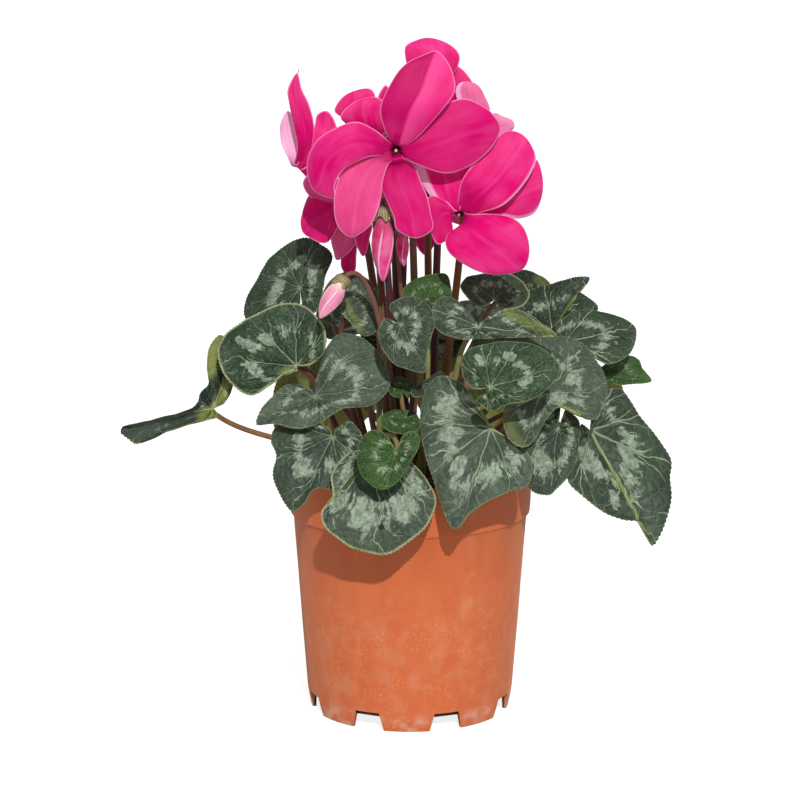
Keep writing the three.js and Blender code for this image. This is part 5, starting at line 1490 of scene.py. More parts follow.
    def thread(self) -> Piece:
        """The fine dry thread that stands on a petal's tip."""
        places = [DRAWING.at_depth(*place) for place in self.plan.thread]
        name, ring = self.plan.name, self.plan.ring
        thread = Stalk(f"{name}_thread", f"{name}_petals", ring, places[-1], UP, 0.0, self.thread_radius)
        thread.handles = tuple(places)
        return thread.build()

    def throat(self) -> Piece:
        """The short tube behind the mouth, hollow in front."""
        rows = [(-10.4, 1.4), (-9.8, 2.5), (-8.6, 3.4), (-7, 3.9), (-5, 4.0), (-3, 3.7), (-1.2, 3.1),
                (-0.2, 2.6), (0.0, 2.3), (-0.3, 2.0), (-1.2, 1.7), (-2.4, 1.4), (-3.2, 0.8)]
        return self.flower.skin("throat", -10.5, rows, -3.4, 28)

    def stigma(self) -> Piece:
        """The pale style and its knob in the mouth."""
        rows = [(-3.6, 0.42), (-1.5, 0.36), (0.2, 0.36), (0.5, 0.62), (0.95, 0.78), (1.4, 0.62), (1.6, 0.3)]
        return self.flower.skin("stigma", -3.7, rows, 1.66, 12)


@dataclass
class Bud:
    """A bud: furled petals in five overlapping twists, whose foot stands in a cup of sepals."""

    plan: BudPlan
    full_girth: float = 6.6
    foot: float = -10.4
    overlap: float = 0.17
    petals: int = 5
    sides: int = 60
    girths: tuple[Pair, ...] = ((0.0, 0.25), (0.05, 0.42), (0.15, 0.62), (0.3, 0.93), (0.46, 1.0),
                                (0.67, 0.86), (0.87, 0.5), (0.97, 0.2), (1.0, 0.06))
    rows: int = 30

    def __post_init__(self) -> None:
        """Sets up the mouth to be and its axes."""
        plan = self.plan
        self.flower = Flower(plan.name, Vector(plan.mouth), Vector(plan.facing), plan.girth / self.full_girth,
                             plan.ring, plan.bow)

    def furled(self) -> Piece:
        """The furled petals, each edge lying over the next."""
        known = np.array(self.girths)
        rings, places = [], []
        start = self.foot * self.flower.size
        for row in range(self.rows + 1):
            share = 0.012 + 0.976 * row / self.rows
            girth = float(np.interp(share, known[:, 0], known[:, 1])) * self.plan.girth
            ring, marks = [], []
            for i in range(self.sides):
                turn = 2 * math.pi * i / self.sides
                lap = (self.petals * i / self.sides) % 1
                over = lap * smooth(share, 0.1, 0.4) + 0.35 * smooth(lap, 0.0, 0.25) * lap
                step = 1 - self.overlap * over
                twist = math.radians(self.plan.twist) * share
                ring.append(self.flower.around(start + share * self.plan.length, girth * step, turn + twist))
                marks.append((lap, share, self.flower.mouth.x))
            rings.append(ring)
            places.append(marks)
        return closed_rings(f"{self.plan.name}_petals_furled", self.flower.around(start, 0, 0), rings,
                            self.flower.around(start + self.plan.length, 0, 0), places)


def srgb(red: float, green: float, blue: float) -> Colour:
    """A colour from 0 to 255 a channel, as the linear one that a node takes."""
    channels = [value / 255 for value in (red, green, blue)]
    linear = [value / 12.92 if value <= 0.04045 else ((value + 0.055) / 1.055) ** 2.4 for value in channels]
    return (*linear, 1.0)


class Term:
    """A value inside a node tree, which sums and products can be made of."""

    def __init__(self, wiring: "Wiring", socket: bpy.types.NodeSocket) -> None:
        """Takes the wiring that adds nodes to the tree, and the socket that gives the value."""
        self.wiring = wiring
        self.socket = socket

    def __add__(self, other: "Value") -> "Term":
        """The sum."""
        return self.wiring.math("ADD", self, other)

    def __sub__(self, other: "Value") -> "Term":
        """The difference."""
        return self.wiring.math("SUBTRACT", self, other)

    def __rsub__(self, other: "Value") -> "Term":
        """The difference from a number."""
        return self.wiring.math("SUBTRACT", other, self)

    def __mul__(self, other: "Value") -> "Term":
        """The product."""
        return self.wiring.math("MULTIPLY", self, other)

    def __abs__(self) -> "Term":
        """The size without its sign."""
        return self.wiring.math("ABSOLUTE", self)


Value = Term | bpy.types.NodeSocket | float | Sequence[float]


class Wiring:
    """Adds nodes to one node tree and joins them."""

    def __init__(self, tree: Tree) -> None:
        """Takes a material's, a world's or a group's tree."""
        self.tree = tree

    def add(self, kind: str, **settings: object) -> bpy.types.Node:
        """A new node with its settings."""
        node = self.tree.nodes.new(kind)
        for key, value in settings.items():
            setattr(node, key, value)
        return node

    def feed(self, socket: bpy.types.NodeSocket, value: Value) -> None:
        """Joins a socket to another one, or sets its number or colour."""
        if isinstance(value, Term):
            value = value.socket
        if isinstance(value, bpy.types.NodeSocket):
            self.tree.links.new(value, socket)
        else:
            socket.default_value = value

    def made(self, kind: str, values: dict[int | str, Value], output: int | str = 0,
             **settings: object) -> Term:
        """What a new node gives out.

        Args:
            kind: the kind of node.
            values: what its inputs get.
            output: which of its outputs is meant.
            **settings: the node's own settings.

        Returns:
            The value of that output.
        """
        node = self.add(kind, **settings)
        for key, value in values.items():
            self.feed(node.inputs[key], value)
        return Term(self, node.outputs[output])

    def math(self, operation: str, *values: Value) -> Term:
        """A sum on one or two values."""
        return self.made("ShaderNodeMath", dict(enumerate(values)), operation=operation)

    def band(self, value: Value, low: Value, high: Value) -> Term:
        """An even rise from 0 at low to 1 at high."""
        return self.made("ShaderNodeMapRange", {0: value, 1: low, 2: high}, interpolation_type="SMOOTHSTEP")

    def away(self, value: Value, low: Value, high: Value) -> Term:
        """An even fall from 1 at low to 0 at high."""
        return 1.0 - self.band(value, low, high)

    def spread(self, first: Term, second: Term) -> Term:
        """The length of a way with these two parts."""
        return self.math("SQRT", first * first + second * second)

    def mix(self, share: Value, first: Value, second: Value) -> Term:
        """A colour between two colours."""
        return self.made("ShaderNodeMix", {0: share, 6: first, 7: second}, 2, data_type="RGBA")

    def noise(self, place: Value, scale: float, detail: float = 2.0) -> Term:
        """Cloudy noise round a half."""
        return self.made("ShaderNodeTexNoise", {"Vector": place, "Scale": scale, "Detail": detail}, "Fac")

    def cells(self, place: Value, scale: float, feature: str = "DISTANCE_TO_EDGE") -> Term:
        """Distance to the edge, or the middle, of the nearest cell."""
        values = {"Vector": place, "Scale": scale}
        return self.made("ShaderNodeTexVoronoi", values, "Distance", feature=feature)

    def join(self, x: Value, y: Value, z: Value) -> Term:
        """A place from three numbers."""
        return self.made("ShaderNodeCombineXYZ", {0: x, 1: y, 2: z})

    def parts(self, place: Value) -> tuple[Term, Term, Term]:
        """The three numbers of a place."""
        node = self.add("ShaderNodeSeparateXYZ")
        self.feed(node.inputs[0], place)
        return tuple(Term(self, socket) for socket in node.outputs)

    def carried(self, name: str) -> tuple[Term, Term, Term]:
        """The three numbers that each point of a piece carries under a name."""
        return self.parts(self.made("ShaderNodeAttribute", {}, "Vector", attribute_name=name))

    def object_place(self) -> Term:
        """The place in the piece's own frame."""
        return self.made("ShaderNodeTexCoord", {}, "Object")

    def group(self, tree: Tree, values: dict[str, Value]) -> dict[str, Term]:
        """What a shared group gives out for the given inputs, by the names of its outputs."""
        node = self.add("ShaderNodeGroup", node_tree=tree)
        for title, value in values.items():
            self.feed(node.inputs[title], value)
        return {socket.name: Term(self, socket) for socket in node.outputs}


COLOUR = "NodeSocketColor"
NUMBER = "NodeSocketFloat"
PLACE = "NodeSocketVector"
LEAF_COLOURS = ("Dark", "Mid", "Grey", "Silver", "Vein", "Rim", "Fresh", "Under")
PETAL_COLOURS = ("Foot", "Deep", "Body", "Light", "Pale", "Rim")


@dataclass
class Effect:
    """A shared node group under construction."""

    name: str
    inputs: dict[str, str]
    outputs: dict[str, str]

    def __post_init__(self) -> None:
        """Opens the group with its sockets."""
        self.tree = bpy.data.node_groups.new(self.name, "ShaderNodeTree")
        for title, kind in self.inputs.items():
            self.tree.interface.new_socket(title, in_out="INPUT", socket_type=kind)
        for title, kind in self.outputs.items():
            self.tree.interface.new_socket(title, in_out="OUTPUT", socket_type=kind)
        self.wiring = Wiring(self.tree)
        self.given = self.wiring.add("NodeGroupInput").outputs
        self.result = self.wiring.add("NodeGroupOutput").inputs

    def put_out(self, **values: Value) -> Tree:
        """Joins the group's results and returns the group."""
        for title, value in values.items():
            self.wiring.feed(self.result[title], value)
        return self.tree


def leaf_marks() -> Tree:
    """Veins, silver patches, rim, stained places and underside of a leaf, with painted shade, a painted sheen
    in its grey and a hole painted as a dark disc, from what its points carry.
    """
    effect = Effect("leaf_marks", dict.fromkeys(LEAF_COLOURS, COLOUR),
                    {"Colour": COLOUR, "Height": NUMBER, "Rough": NUMBER})
    w, given = effect.wiring, effect.given
    u, v, reach = w.carried("place")
    edge, side, seed = w.carried("trim")
    silver, tone, veins = w.carried("traits")
    ring, rim, fresh = w.carried("marks")
    blotch, bright, shade = w.carried("stains_and_shade")
    spot_u, spot_v, spot_radius = w.carried("spot")
    flat = w.join(u, v, seed)
    radius = w.spread(u, v)
    wander = w.noise(flat, 3.0, 3.0) - 0.5
    angle = w.math("ARCTAN2", v, u) + wander * 0.5
    turn = angle * (9 / (2 * math.pi)) + 0.5
    apart = abs(w.math("FRACT", turn) - 0.5) * 2.0
    width = 0.0074 - reach * 0.0042
    main = w.away(apart * radius * (math.pi / 9), width, width * 2.6)
    late = w.math("MAXIMUM", reach - 0.46, 0.0)
    branch = w.away(abs(apart - late * 1.25) * radius * (math.pi / 9), width * 0.5, width * 1.9)
    branch = branch * w.band(reach, 0.46, 0.52)
    phase = reach * 5.4 - apart * 1.35 + wander * 2.6
    line = abs(w.math("FRACT", phase) - 0.5) * 2.0
    fork = w.band(line, 0.9, 0.975) * w.band(reach, 0.15, 0.3)
    web = w.cells(w.join(u, v, seed + 0.4), 12.0)
    net = w.away(web, 0.012, 0.05)
    patchy = w.noise(flat, 5.0, 2.0)
    streaks = main * 0.85 + branch * 0.75 * w.band(patchy, 0.36, 0.52)
    streaks = w.math("MINIMUM", streaks + fork * 0.5 * w.band(patchy, 0.42, 0.6) + net * 0.16, 1.0)
    fingers = w.noise(w.join(turn * 2.6, reach * 0.9, seed), 3.4, 5.0)
    jag = w.noise(flat, 8.0, 6.0)
    core = 1.0 - abs(reach - ring) * 3.3
    weight = core + apart * 0.3 + streaks * 0.75 - jag * 1.5 - fingers * 1.9 + 1.55
    level = 1.12 - silver * 0.72
    patch = w.band(weight, level - 0.08, level + 0.2)
    shred = w.noise(w.join(turn * 2.2, reach * 2.6, seed), 5.0, 4.0)
    ragged = blotch + jag * 1.5 + shred * 1.1 + streaks * 0.2 - 1.3
    patch = w.math("MAXIMUM", patch, w.band(ragged, 0.42, 0.66))
    patch = patch * (1.0 - main * 0.6) * (1.0 - fork * 0.25)
    cloud = w.noise(flat, 2.3, 4.0)
    grain = w.noise(flat, 34.0, 3.0)
    ground = w.mix(w.band(cloud + grain * 0.3, 0.47, 0.85), given["Dark"], given["Mid"])
    # grey patches: partly the leaf's own greyer green, partly a painted sheen where light catches it
    ground = w.mix(tone * (w.noise(flat, 4.5, 4.0) * 1.3 + 0.1), ground, given["Grey"])
    ground = w.mix(fresh * (cloud * 0.8 + 0.3), ground, given["Fresh"])
    frost = (grain + w.noise(flat, 15.0, 4.0)) * 1.6 - 0.85
    skin = w.mix(patch * w.math("MINIMUM", w.math("MAXIMUM", frost, 0.2), 1.0), ground, given["Silver"])
    skin = w.mix(veins * streaks, skin, given["Vein"])
    skin = w.mix(bright * (cloud * 0.5 + 0.5) * 0.8, skin, given["Under"])
    border = w.away(edge, 0.1, rim * 0.85 + 0.3)
    skin = w.mix(border * w.math("MINIMUM", rim, 0.9), skin, given["Rim"])
    # painted shade: the shade marks darken the upper side towards the dark green
    skin = w.mix(shade * 0.75, skin, given["Dark"])
    # painted shade: the hole is a nearly black disc
    hole = w.away(w.spread(u - spot_u, v - spot_v), spot_radius * 0.85, spot_radius * 1.15 + 0.0001)
    skin = w.mix(hole * 0.9, skin, (0.003, 0.005, 0.003, 1.0))
    below = w.mix(main * 0.5, w.mix(cloud * 0.5, given["Under"], given["Grey"]), given["Vein"])
    # painted shade on the underside as well
    below = w.mix(shade * 0.95, below, given["Dark"])
    lines = main * -0.9 - fork * 0.4 - branch * 0.5 - net * 0.25
    height = lines * (side * 2.0 - 1.0)
    height = height + w.noise(flat, 26.0, 3.0) * 0.5 + w.band(web, 0.0, 0.35) * 0.4 + w.noise(flat, 7.0) * 1.6
    rough = 0.56 - side * 0.14 + jag * 0.16 + patch * 0.06
    return effect.put_out(Colour=w.mix(side, below, skin), Height=height, Rough=rough)


def petal_marks() -> Tree:
    """Streaks, midrib, pale rim and dark foot of a petal, with painted shade where it lies in shadow, painted
    shade and light on the two halves of its fold and a painted highlight along its midrib, from what its
    points carry.
    """
    effect = Effect("petal_marks", dict.fromkeys(PETAL_COLOURS, COLOUR),
                    {"Colour": COLOUR, "Height": NUMBER, "Rough": NUMBER})
    w, given = effect.wiring, effect.given
    u, v, share = w.carried("place")
    edge, side, seed = w.carried("trim")
    pale, margin, deep = w.carried("traits")
    creases, _, _ = w.carried("marks")
    broad = abs(u)
    streak = w.noise(w.join(u * 7.0, v * 1.5, seed), 1.0, 3.0)
    fine = w.noise(w.join(u * 26.0, v * 2.4, seed), 1.0, 2.0)
    cloud = w.noise(w.join(u, v * 2.0, seed), 1.6, 2.0)
    skin = w.mix(w.band(v, 0.08, 0.42), given["Deep"], given["Body"])
    outward = w.band(v, 0.35, 1.0) * 0.3 + w.math("POWER", broad, 3.0) * 0.25 + streak * 0.36 + cloud * 1.5
    skin = w.mix(w.math("MAXIMUM", outward - 0.86, 0.0), skin, given["Light"])
    skin = w.mix(w.band(fine, 0.52, 0.75) * 0.16, skin, given["Deep"])
    midrib = w.away(broad, 0.02, 0.11)
    # painted highlight: the midrib is painted lighter
    skin = w.mix(midrib * w.band(v, 0.2, 0.5) * 0.28, skin, given["Light"])
    # painted shade on one half of the fold and a painted highlight on the other
    half = abs(creases) * 0.5
    skin = w.mix(half * w.away(u, -0.05, 0.01) * w.band(v, 0.15, 0.4), skin, given["Deep"])
    skin = w.mix(half * w.band(u, 0.0, 0.08) * w.away(u, 0.1, 0.7), skin, given["Light"])
    # painted shade: deep darkens a petal that lies in shadow
    skin = w.mix(deep * (cloud * 0.6 + 0.5), skin, given["Deep"])
    wan = pale * (streak * 0.7 + 0.65) * w.band(v, 0.05, 0.35)
    skin = w.mix(w.math("MINIMUM", wan, 1.0), skin, given["Pale"])
    start = 1.0 - abs(margin)
    within = share * w.math("SIGN", margin)
    fringe = w.band(within, start, start + 0.16) * w.math("CEIL", abs(margin))
    skin = w.mix(fringe * w.band(v, 0.1, 0.3) * 0.85, skin, given["Pale"])
    skin = w.mix(w.away(v, 0.03, 0.14), skin, given["Foot"])
    rim = w.away(edge, 0.22, 0.66)
    skin = w.mix(rim * w.band(v, 0.1, 0.25) * 0.58, skin, given["Rim"])
    height = fine * 0.5 + streak * 0.6 - midrib * 0.6
    rough = cloud * 0.2 + 0.42 - side * 0.04
    return effect.put_out(Colour=skin, Height=height, Rough=rough)


def mottle() -> Tree:
    """Cloudy change between two colours with darker specks, and the unevenness that goes with it."""
    effect = Effect("mottle", {"Place": PLACE, "First": COLOUR, "Second": COLOUR, "Speck": COLOUR},
                    {"Colour": COLOUR, "Height": NUMBER, "Cloud": NUMBER})
    w, given = effect.wiring, effect.given
    cloud = w.noise(given["Place"], 90.0, 4.0)
    specks = w.away(w.cells(given["Place"], 620.0, "F1"), 0.1, 0.32)
    specks = specks * w.band(w.noise(given["Place"], 160.0, 2.0), 0.5, 0.66)
    skin = w.mix(w.band(cloud, 0.32, 0.68), given["First"], given["Second"])
    skin = w.mix(specks * 0.7, skin, given["Speck"])
    height = cloud * 0.6 + w.noise(given["Place"], 900.0, 2.0) * 0.4
    return effect.put_out(Colour=skin, Height=height, Cloud=cloud)


@dataclass
class Effects:
    """The shared node groups."""

    leaf: Tree = field(default_factory=leaf_marks)
    petal: Tree = field(default_factory=petal_marks)
    mottle: Tree = field(default_factory=mottle)


@dataclass(frozen=True)
class Surface:
    """What a finish feeds to its shader."""

    colour: Value
    rough: Value
    height: Term


@dataclass(frozen=True)
class Finish:
    """A finish: its name, the shader's own settings and the depth of its relief in metres."""

    name: str
    settings: dict[str, float | tuple[float, ...]] = field(default_factory=dict)
    grain: float = 0.0002

    def open(self) -> tuple[bpy.types.Material, Wiring, bpy.types.Node]:
        """A new material, the wiring of its tree, and its shader."""
        material = bpy.data.materials.new(self.name)
        material.use_nodes = True
        material.node_tree.nodes.clear()
        w = Wiring(material.node_tree)
        shader = w.add("ShaderNodeBsdfPrincipled")
        w.feed(w.add("ShaderNodeOutputMaterial").inputs["Surface"], shader.outputs[0])
        for title, value in self.settings.items():
            shader.inputs[title].default_value = value
        return material, w, shader

    def surface(self, w: Wiring, effects: Effects) -> Surface:
        """What the finish looks like; each kind of finish has its own."""
        raise NotImplementedError

    def make(self, effects: Effects) -> bpy.types.Material:
        """The material."""
        material, w, shader = self.open()
        surface = self.surface(w, effects)
        w.feed(shader.inputs["Base Color"], surface.colour)
        w.feed(shader.inputs["Roughness"], surface.rough)
        # a finish with emission glows in its own colour: painted light
        if "Emission Strength" in self.settings:
            w.feed(shader.inputs["Emission Color"], surface.colour)
        bump = w.add("ShaderNodeBump")
        bump.inputs["Distance"].default_value = self.grain
        w.feed(bump.inputs["Height"], surface.height)
        w.feed(shader.inputs["Normal"], bump.outputs[0])
        return material

    def marked(self, w: Wiring, tree: Tree, titles: Sequence[str]) -> Surface:
        """The surface that a shared group makes from the finish's own colours of the given names."""
        node = w.group(tree, {title: getattr(self, title.lower()) for title in titles})
        return Surface(node["Colour"], node["Rough"], node["Height"])

    def mottled(self, w: Wiring, effects: Effects, colours: Sequence[Value], rough: Pair,
                place: Term | None = None) -> Surface:
        """A surface that changes between two colours, with specks of a third.

        Args:
            w: the wiring of the material.
            effects: the shared groups.
            colours: the two colours and the specks'.
            rough: how much the roughness changes with the clouds, and the least of it.
            place: where on the piece, or nothing for the piece's own frame.

        Returns:
            The surface.
        """
        first, second, speck = colours
        change, least = rough
        node = w.group(effects.mottle, {"Place": place or w.object_place(), "First": first, "Second": second,
                                        "Speck": speck})
        return Surface(node["Colour"], node["Cloud"] * change + least, node["Height"])


@dataclass(frozen=True)
class LeafFinish(Finish):
    """Satin leaf skin with veins, silver patches, a pale rim and a paler underside, with painted shade, a
    painted sheen in its grey and a hole painted as a dark disc.
    """

    dark: Colour = srgb(18, 38, 24)
    mid: Colour = srgb(42, 66, 40)
    # grey: the greyer green of the leaf, also the colour of its painted sheen
    grey: Colour = srgb(82, 96, 78)
    silver: Colour = srgb(158, 174, 150)
    vein: Colour = srgb(168, 184, 150)
    rim: Colour = srgb(176, 184, 134)
    fresh: Colour = srgb(54, 98, 30)
    under: Colour = srgb(158, 166, 84)

    def surface(self, w: Wiring, effects: Effects) -> Surface:
        """Leaf skin."""
        return self.marked(w, effects.leaf, LEAF_COLOURS)


@dataclass(frozen=True)
class PetalFinish(Finish):
    """Silky petal skin, saturated near the mouth and lighter outwards, with fine streaks and a pale rim."""

    foot: Colour = srgb(110, 0, 48)
    deep: Colour = srgb(184, 0, 90)
    body: Colour = srgb(220, 2, 110)
    light: Colour = srgb(240, 74, 148)
    pale: Colour = srgb(246, 186, 222)
    rim: Colour = srgb(250, 176, 216)

    def surface(self, w: Wiring, effects: Effects) -> Surface:
        """Petal skin."""
        return self.marked(w, effects.petal, PETAL_COLOURS)


@dataclass(frozen=True)
class StalkFinish(Finish):
    """Stalk skin that changes from its foot to its top, finely mottled."""

    foot: Colour = srgb(120, 92, 74)
    middle: Colour = srgb(136, 92, 74)
    top: Colour = srgb(128, 72, 74)
    speck: Colour = srgb(92, 52, 48)
    other: Colour = srgb(84, 40, 50)
    third: Colour = srgb(150, 92, 52)

    def surface(self, w: Wiring, effects: Effects) -> Surface:
        """Stalk skin, whose hues change from one stalk to the next."""
        _, along, seed = w.carried("place")
        low = w.mix(w.band(along, 0.1, 0.55), self.foot, self.middle)
        shift = w.math("SINE", seed * 3.7) * 0.3
        high = w.mix(w.band(along + shift, 0.5, 1.0), low, self.top)
        high = w.mix(w.band(w.math("SINE", seed * 9.1 + 1.0), 0.0, 0.9), high, self.other)
        high = w.mix(w.band(w.math("SINE", seed * 15.7 + 2.0), 0.35, 0.9), high, self.third)
        return self.mottled(w, effects, (w.mix(0.45, high, self.speck), high, self.speck), (0.25, 0.35))


@dataclass(frozen=True)
class CalyxFinish(Finish):
    """Sepals, olive with dark lines from their foot to their points and pale edges."""

    ground: Colour = srgb(146, 134, 88)
    dark: Colour = srgb(84, 50, 44)
    pale: Colour = srgb(204, 198, 152)

    def surface(self, w: Wiring, effects: Effects) -> Surface:
        """Sepal skin."""
        turn, along, _ = w.carried("place")
        lighter = w.mix(0.4, self.ground, self.pale)
        base = self.mottled(w, effects, (self.ground, lighter, self.dark), (0.2, 0.42))
        fan = abs(w.math("SINE", turn * 12.5 + 0.3))
        lines = w.band(fan, 0.72, 0.96) * w.away(along, 0.42, 0.6)
        skin = w.mix(lines * 0.75, base.colour, self.dark)
        skin = w.mix(w.band(along, 0.42, 0.56) * 0.5, skin, self.pale)
        skin = w.mix(w.away(along, 0.0, 0.25), skin, self.dark)
        return replace(base, colour=skin)


@dataclass(frozen=True)
class ThroatFinish(Finish):
    """The tube behind the mouth: magenta outside, nearly black wine inside."""

    outside: Colour = srgb(150, 8, 70)
    inside: Colour = srgb(118, 4, 54)

    def surface(self, w: Wiring, effects: Effects) -> Surface:
        """The tube's skin, from its back along the outside to the inside."""
        _, along, _ = w.carried("place")
        skin = w.mix(w.band(along, 0.45, 0.62), self.outside, self.inside)
        return self.mottled(w, effects, (skin, w.mix(0.25, skin, self.inside), self.inside), (0.2, 0.4))


@dataclass(frozen=True)
class BudFinish(Finish):
    """Furled petals with a pale edge along each overlap."""

    foot: Colour = srgb(170, 12, 80)
    body: Colour = srgb(214, 14, 108)
    tip: Colour = srgb(226, 60, 136)
    edge: Colour = srgb(250, 198, 226)

    def surface(self, w: Wiring, effects: Effects) -> Surface:
        """Bud skin."""
        lap, along, _ = w.carried("place")
        skin = w.mix(w.band(along, 0.1, 0.4), self.foot, self.body)
        skin = w.mix(w.band(along, 0.5, 0.95), skin, self.tip)
        base = self.mottled(w, effects, (skin, w.mix(0.25, skin, self.edge), self.foot), (0.2, 0.4))
        seam = w.away(lap, 0.03, 0.2) * w.band(along, 0.2, 0.4) * 0.8
        return replace(base, colour=w.mix(seam, base.colour, self.edge))


@dataclass(frozen=True)
class PotFinish(Finish):
    """Terracotta-coloured plastic with faint streaks, pale specks low down and scuffed feet, and painted
    shade in the recess under its floor.
    """

    ground: Colour = srgb(218, 108, 60)
    warm: Colour = srgb(223, 116, 68)
    dust: Colour = srgb(226, 156, 120)
    grit: Colour = srgb(244, 168, 124)
    scuff: Colour = srgb(232, 190, 166)
    # hollow: painted shade in the recess under the pot's floor
    hollow: Colour = srgb(70, 26, 22)

    def surface(self, w: Wiring, effects: Effects) -> Surface:
        """Pot skin, by place on the pot."""
        place = w.object_place()
        x, y, z = w.parts(place)
        east, south = (x - ORIGIN.x * MM, ORIGIN.y * MM - y)
        base = self.mottled(w, effects, (self.ground, self.warm, self.ground), (0.16, 0.4),
                            w.join(x, y, z * 0.4))
        turn = w.math("ARCTAN2", east, south)
        streak = w.noise(w.join(turn * 3.0, 0.0, z * 4.0), 4.0, 3.0)
        skin = w.mix(w.band(streak, 0.6, 0.85) * 0.16, base.colour, self.dust)
        worn_line = w.away(abs(turn - (streak * 0.2 + 0.44)), 0.01, 0.07) * w.band(z, 0.04, 0.06)
        skin = w.mix(worn_line * w.band(w.noise(place, 120.0, 3.0), 0.4, 0.7) * 0.4, skin, self.dust)
        low = w.away(z, 0.045, 0.085)
        grit = w.math("MAXIMUM", w.away(w.cells(place, 520.0, "F1"), 0.06, 0.42),
                      w.away(w.cells(place, 900.0, "F1"), 0.1, 0.4) * 0.7)
        grit = grit * low * w.band(w.noise(place, 80.0, 4.0), 0.4, 0.58)
        skin = w.mix(grit * 0.4, skin, self.grit)
        skin = w.mix(w.band(w.noise(place, 120.0, 5.0), 0.46, 0.7) * low * 0.3, skin, self.dust)
        worn = w.away(z, 0.004, 0.011) * w.band(w.noise(place, 150.0, 4.0), 0.42, 0.66)
        skin = w.mix(worn * 0.6, skin, self.scuff)
        # painted shade in the recess under the floor, seen through the notches
        recess_shade = w.away(w.spread(east, south), 0.0476, 0.0484) * w.away(z, 0.0105, 0.012)
        return replace(base, colour=w.mix(recess_shade * 0.92, skin, self.hollow))


@dataclass(frozen=True)
class EarthFinish(Finish):
    """Compost or corm skin: brown, cloudy and speckled."""

    first: Colour = srgb(46, 32, 24)
    second: Colour = srgb(78, 56, 40)
    speck: Colour = srgb(120, 98, 74)

    def surface(self, w: Wiring, effects: Effects) -> Surface:
        """Earth or bark."""
        return self.mottled(w, effects, (self.first, self.second, self.speck), (0.2, 0.7))


@dataclass
class Finishes:
    """One material for each kind of surface."""

    effects: Effects = field(default_factory=Effects)

    def __post_init__(self) -> None:
        """Makes every material once."""
        effects = self.effects
        soft = {"Specular IOR Level": 0.35}
        waxy = {"Specular IOR Level": 0.4}
        # petals and buds glow faintly in their own colour: painted light
        glow = {"Specular IOR Level": 0.12, "Emission Strength": 0.1}
        bloom = {"Sheen Weight": 0.3, "Sheen Roughness": 0.5, "Sheen Tint": srgb(250, 176, 128)}
        self.leaf = LeafFinish("leaf_green", soft, 0.0005).make(effects)
        self.young = LeafFinish("leaf_fresh", soft, 0.0005, dark=srgb(36, 72, 24), mid=srgb(66, 102, 42),
                                grey=srgb(100, 126, 76), rim=srgb(150, 176, 96)).make(effects)
        self.petal = PetalFinish("petal_magenta", glow).make(effects)
        self.bud = BudFinish("bud_magenta", glow).make(effects)
        self.bud_light = BudFinish("bud_pink", glow, foot=srgb(238, 214, 202), body=srgb(232, 130, 170),
                                   tip=srgb(238, 150, 182), edge=srgb(252, 232, 232)).make(effects)
        self.throat = ThroatFinish("throat_wine", {"Specular IOR Level": 0.3}).make(effects)
        self.stigma = EarthFinish("stigma_cream", {}, 0.0001, first=srgb(226, 190, 170),
                                  second=srgb(240, 214, 190), speck=srgb(200, 90, 110)).make(effects)
        self.calyx = CalyxFinish("calyx_olive", waxy).make(effects)
        self.scape = StalkFinish("scape_brown", waxy).make(effects)
        self.petiole = StalkFinish("petiole_tan", waxy, foot=srgb(126, 84, 76), middle=srgb(164, 112, 86),
                                   top=srgb(158, 120, 84), other=srgb(138, 84, 78),
                                   third=srgb(150, 154, 96)).make(effects)
        self.pot = PotFinish("pot_terracotta", waxy | bloom, 0.00012).make(effects)
        self.compost = EarthFinish("compost_peat", {"Specular IOR Level": 0.2}, 0.0008).make(effects)
        self.corm = EarthFinish("corm_bark", {"Specular IOR Level": 0.25}, 0.0005, first=srgb(84, 64, 48),
                                second=srgb(124, 100, 78), speck=srgb(58, 42, 32)).make(effects)


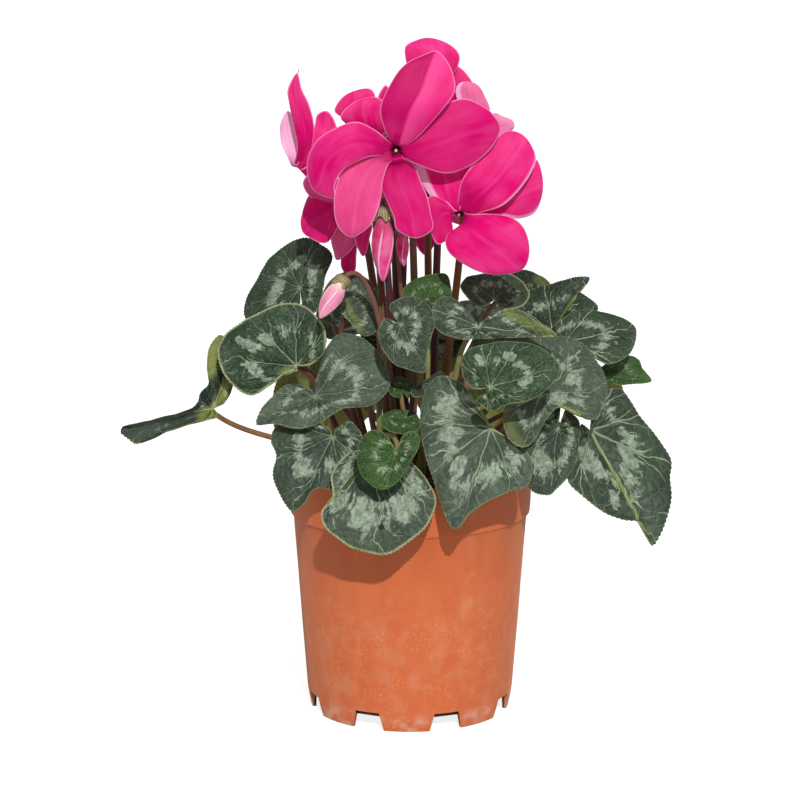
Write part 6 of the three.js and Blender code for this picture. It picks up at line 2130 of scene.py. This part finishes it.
@dataclass
class Plant:
    """The whole pot plant: pot, compost, corm, leaves, blooms and buds."""

    finishes: Finishes = field(default_factory=Finishes)
    pot: Pot = field(default_factory=Pot)
    compost: Compost = field(default_factory=Compost)
    corm: Corm = field(default_factory=Corm)

    def __post_init__(self) -> None:
        """Sets up the leaves, the blooms and the buds, and stands their stalks on the crown."""
        self.leaves = [Leaf(plan) for plan in (*DRAWN_LEAVES, *PLAIN_LEAVES)]
        self.blooms = [Bloom(plan) for plan in BLOOMS]
        self.buds = [Bud(plan) for plan in BUDS]
        self.leaf_stalks = [leaf.stalk() for leaf in self.leaves]
        self.flower_stalks = [part.flower.stalk() for part in (*self.blooms, *self.buds)]
        root_stalks([*self.leaf_stalks, *self.flower_stalks])

    def build_ground(self) -> None:
        """Builds the pot, the compost and the corm."""
        dress(self.pot.build(), Slot.POT, self.finishes.pot, "pot")
        dress(self.compost.build(), Slot.SOIL, self.finishes.compost, "soil")
        dress(self.compost.scatter(), Slot.SOIL, self.finishes.compost, "soil")
        dress(self.corm.build(), Slot.CORM, self.finishes.corm, "corm")

    def build_leaves(self) -> None:
        """Builds every leaf blade and its stalk."""
        for leaf, stalk in zip(self.leaves, self.leaf_stalks):
            young = leaf.plan.young
            slot = Slot.LEAF_YOUNG if young else Slot.LEAF
            dress(leaf.build(), slot, self.finishes.young if young else self.finishes.leaf, leaf.plan.name)
            dress(stalk.build(), slot, self.finishes.petiole, leaf.plan.name)

    def build_blooms(self) -> None:
        """Builds every open bloom."""
        for bloom in self.blooms:
            petals, stem = f"{bloom.plan.name}_petals", f"{bloom.plan.name}_stem"
            for petal in bloom.petals():
                dress(petal, Slot.PETAL, self.finishes.petal, petals)
            if bloom.plan.thread:
                dress(bloom.thread(), Slot.PETAL, self.finishes.scape, petals)
            dress(bloom.throat(), Slot.PETAL, self.finishes.throat, petals)
            dress(bloom.stigma(), Slot.PETAL, self.finishes.stigma, petals)
            dress(bloom.flower.calyx(), Slot.FLOWER_STEM, self.finishes.calyx, stem)

    def build_buds(self) -> None:
        """Builds every bud."""
        for bud in self.buds:
            finish = self.finishes.bud_light if bud.plan.name == "bud_small" else self.finishes.bud
            dress(bud.furled(), Slot.BUD_PETAL, finish, f"{bud.plan.name}_petals")
            dress(bud.flower.calyx(), Slot.FLOWER_STEM, self.finishes.calyx, f"{bud.plan.name}_stem")

    def build_flower_stalks(self) -> None:
        """Builds the stalks of blooms and buds."""
        for stalk in self.flower_stalks:
            dress(stalk.build(), Slot.FLOWER_STEM, self.finishes.scape, stalk.node)

    def build(self) -> None:
        """Builds all of it."""
        self.build_ground()
        self.build_leaves()
        self.build_blooms()
        self.build_buds()
        self.build_flower_stalks()


@dataclass
class Studio:
    """A pale floor, soft studio light and the camera."""

    lens: float = 123.3
    key_strength: float = 2.3
    key_spread: float = 1.2
    key_from: Triple = (0.12, -1.0, 0.72)
    fill: float = 0.4
    floor_size: float = 40.0
    floor_glow: float = 0.84
    floor_tone: float = 0.5

    def light(self) -> None:
        """One key light from above in front and an even grey surround, white to the camera."""
        deselect()
        bpy.ops.object.light_add(type="SUN")
        key = bpy.context.object
        key.name = "key"
        key.data.energy = self.key_strength
        key.data.angle = math.radians(self.key_spread)
        key.rotation_euler = Vector(self.key_from).to_track_quat("Z", "Y").to_euler()
        world = bpy.data.worlds.new("studio")
        bpy.context.scene.world = world
        world.use_nodes = True
        w = Wiring(world.node_tree)
        w.tree.nodes.clear()
        seen = w.add("ShaderNodeLightPath").outputs["Is Camera Ray"]
        back = w.add("ShaderNodeBackground")
        w.feed(back.inputs["Color"], w.mix(seen, (self.fill, self.fill, self.fill, 1), (1, 1, 1, 1)))
        w.feed(w.add("ShaderNodeOutputWorld").inputs[0], back.outputs[0])

    def floor(self) -> None:
        """A wide white floor that goes over into the background."""
        deselect()
        bpy.ops.mesh.primitive_plane_add(size=self.floor_size, location=(0, 0, -0.0002))
        plane = bpy.context.object
        plane.name = "floor"
        material, w, shader = Finish("floor_white", {"Roughness": 0.9, "Specular IOR Level": 0.1,
                                                     "Emission Strength": 1.0}).open()
        tone = self.floor_tone
        bright = tone * 1.04
        shade = w.mix(w.noise(w.object_place(), 3.0, 2.0), (tone, tone, tone, 1), (bright, bright, bright, 1))
        w.feed(shader.inputs["Base Color"], shade)
        seen = w.add("ShaderNodeLightPath").outputs["Is Camera Ray"]
        glow = self.floor_glow
        w.feed(shader.inputs["Emission Color"], w.mix(seen, (0.0, 0.0, 0.0, 1), (glow, glow, glow, 1)))
        plane.data.materials.append(material)

    def camera(self) -> None:
        """The eye of the drawing."""
        deselect()
        place = seated(Vector(DRAWING.eye))
        bpy.ops.object.camera_add(location=place, rotation=(math.radians(90 - DRAWING.pitch), 0, 0))
        camera = bpy.context.object
        camera.data.lens = self.lens
        camera.data.sensor_width = 36
        camera.data.clip_end = 100
        bpy.context.scene.camera = camera

    def build(self) -> None:
        """Sets the stage."""
        self.light()
        self.floor()
        self.camera()
        bpy.context.scene.view_settings.view_transform = "Standard"


def main() -> None:
    """Builds the plant, then the stage round it."""
    logging.basicConfig(level=logging.INFO, format="%(name)s: %(message)s")
    Plant().build()
    Studio().build()
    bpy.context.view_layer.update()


if __name__ == "__main__":
    main()
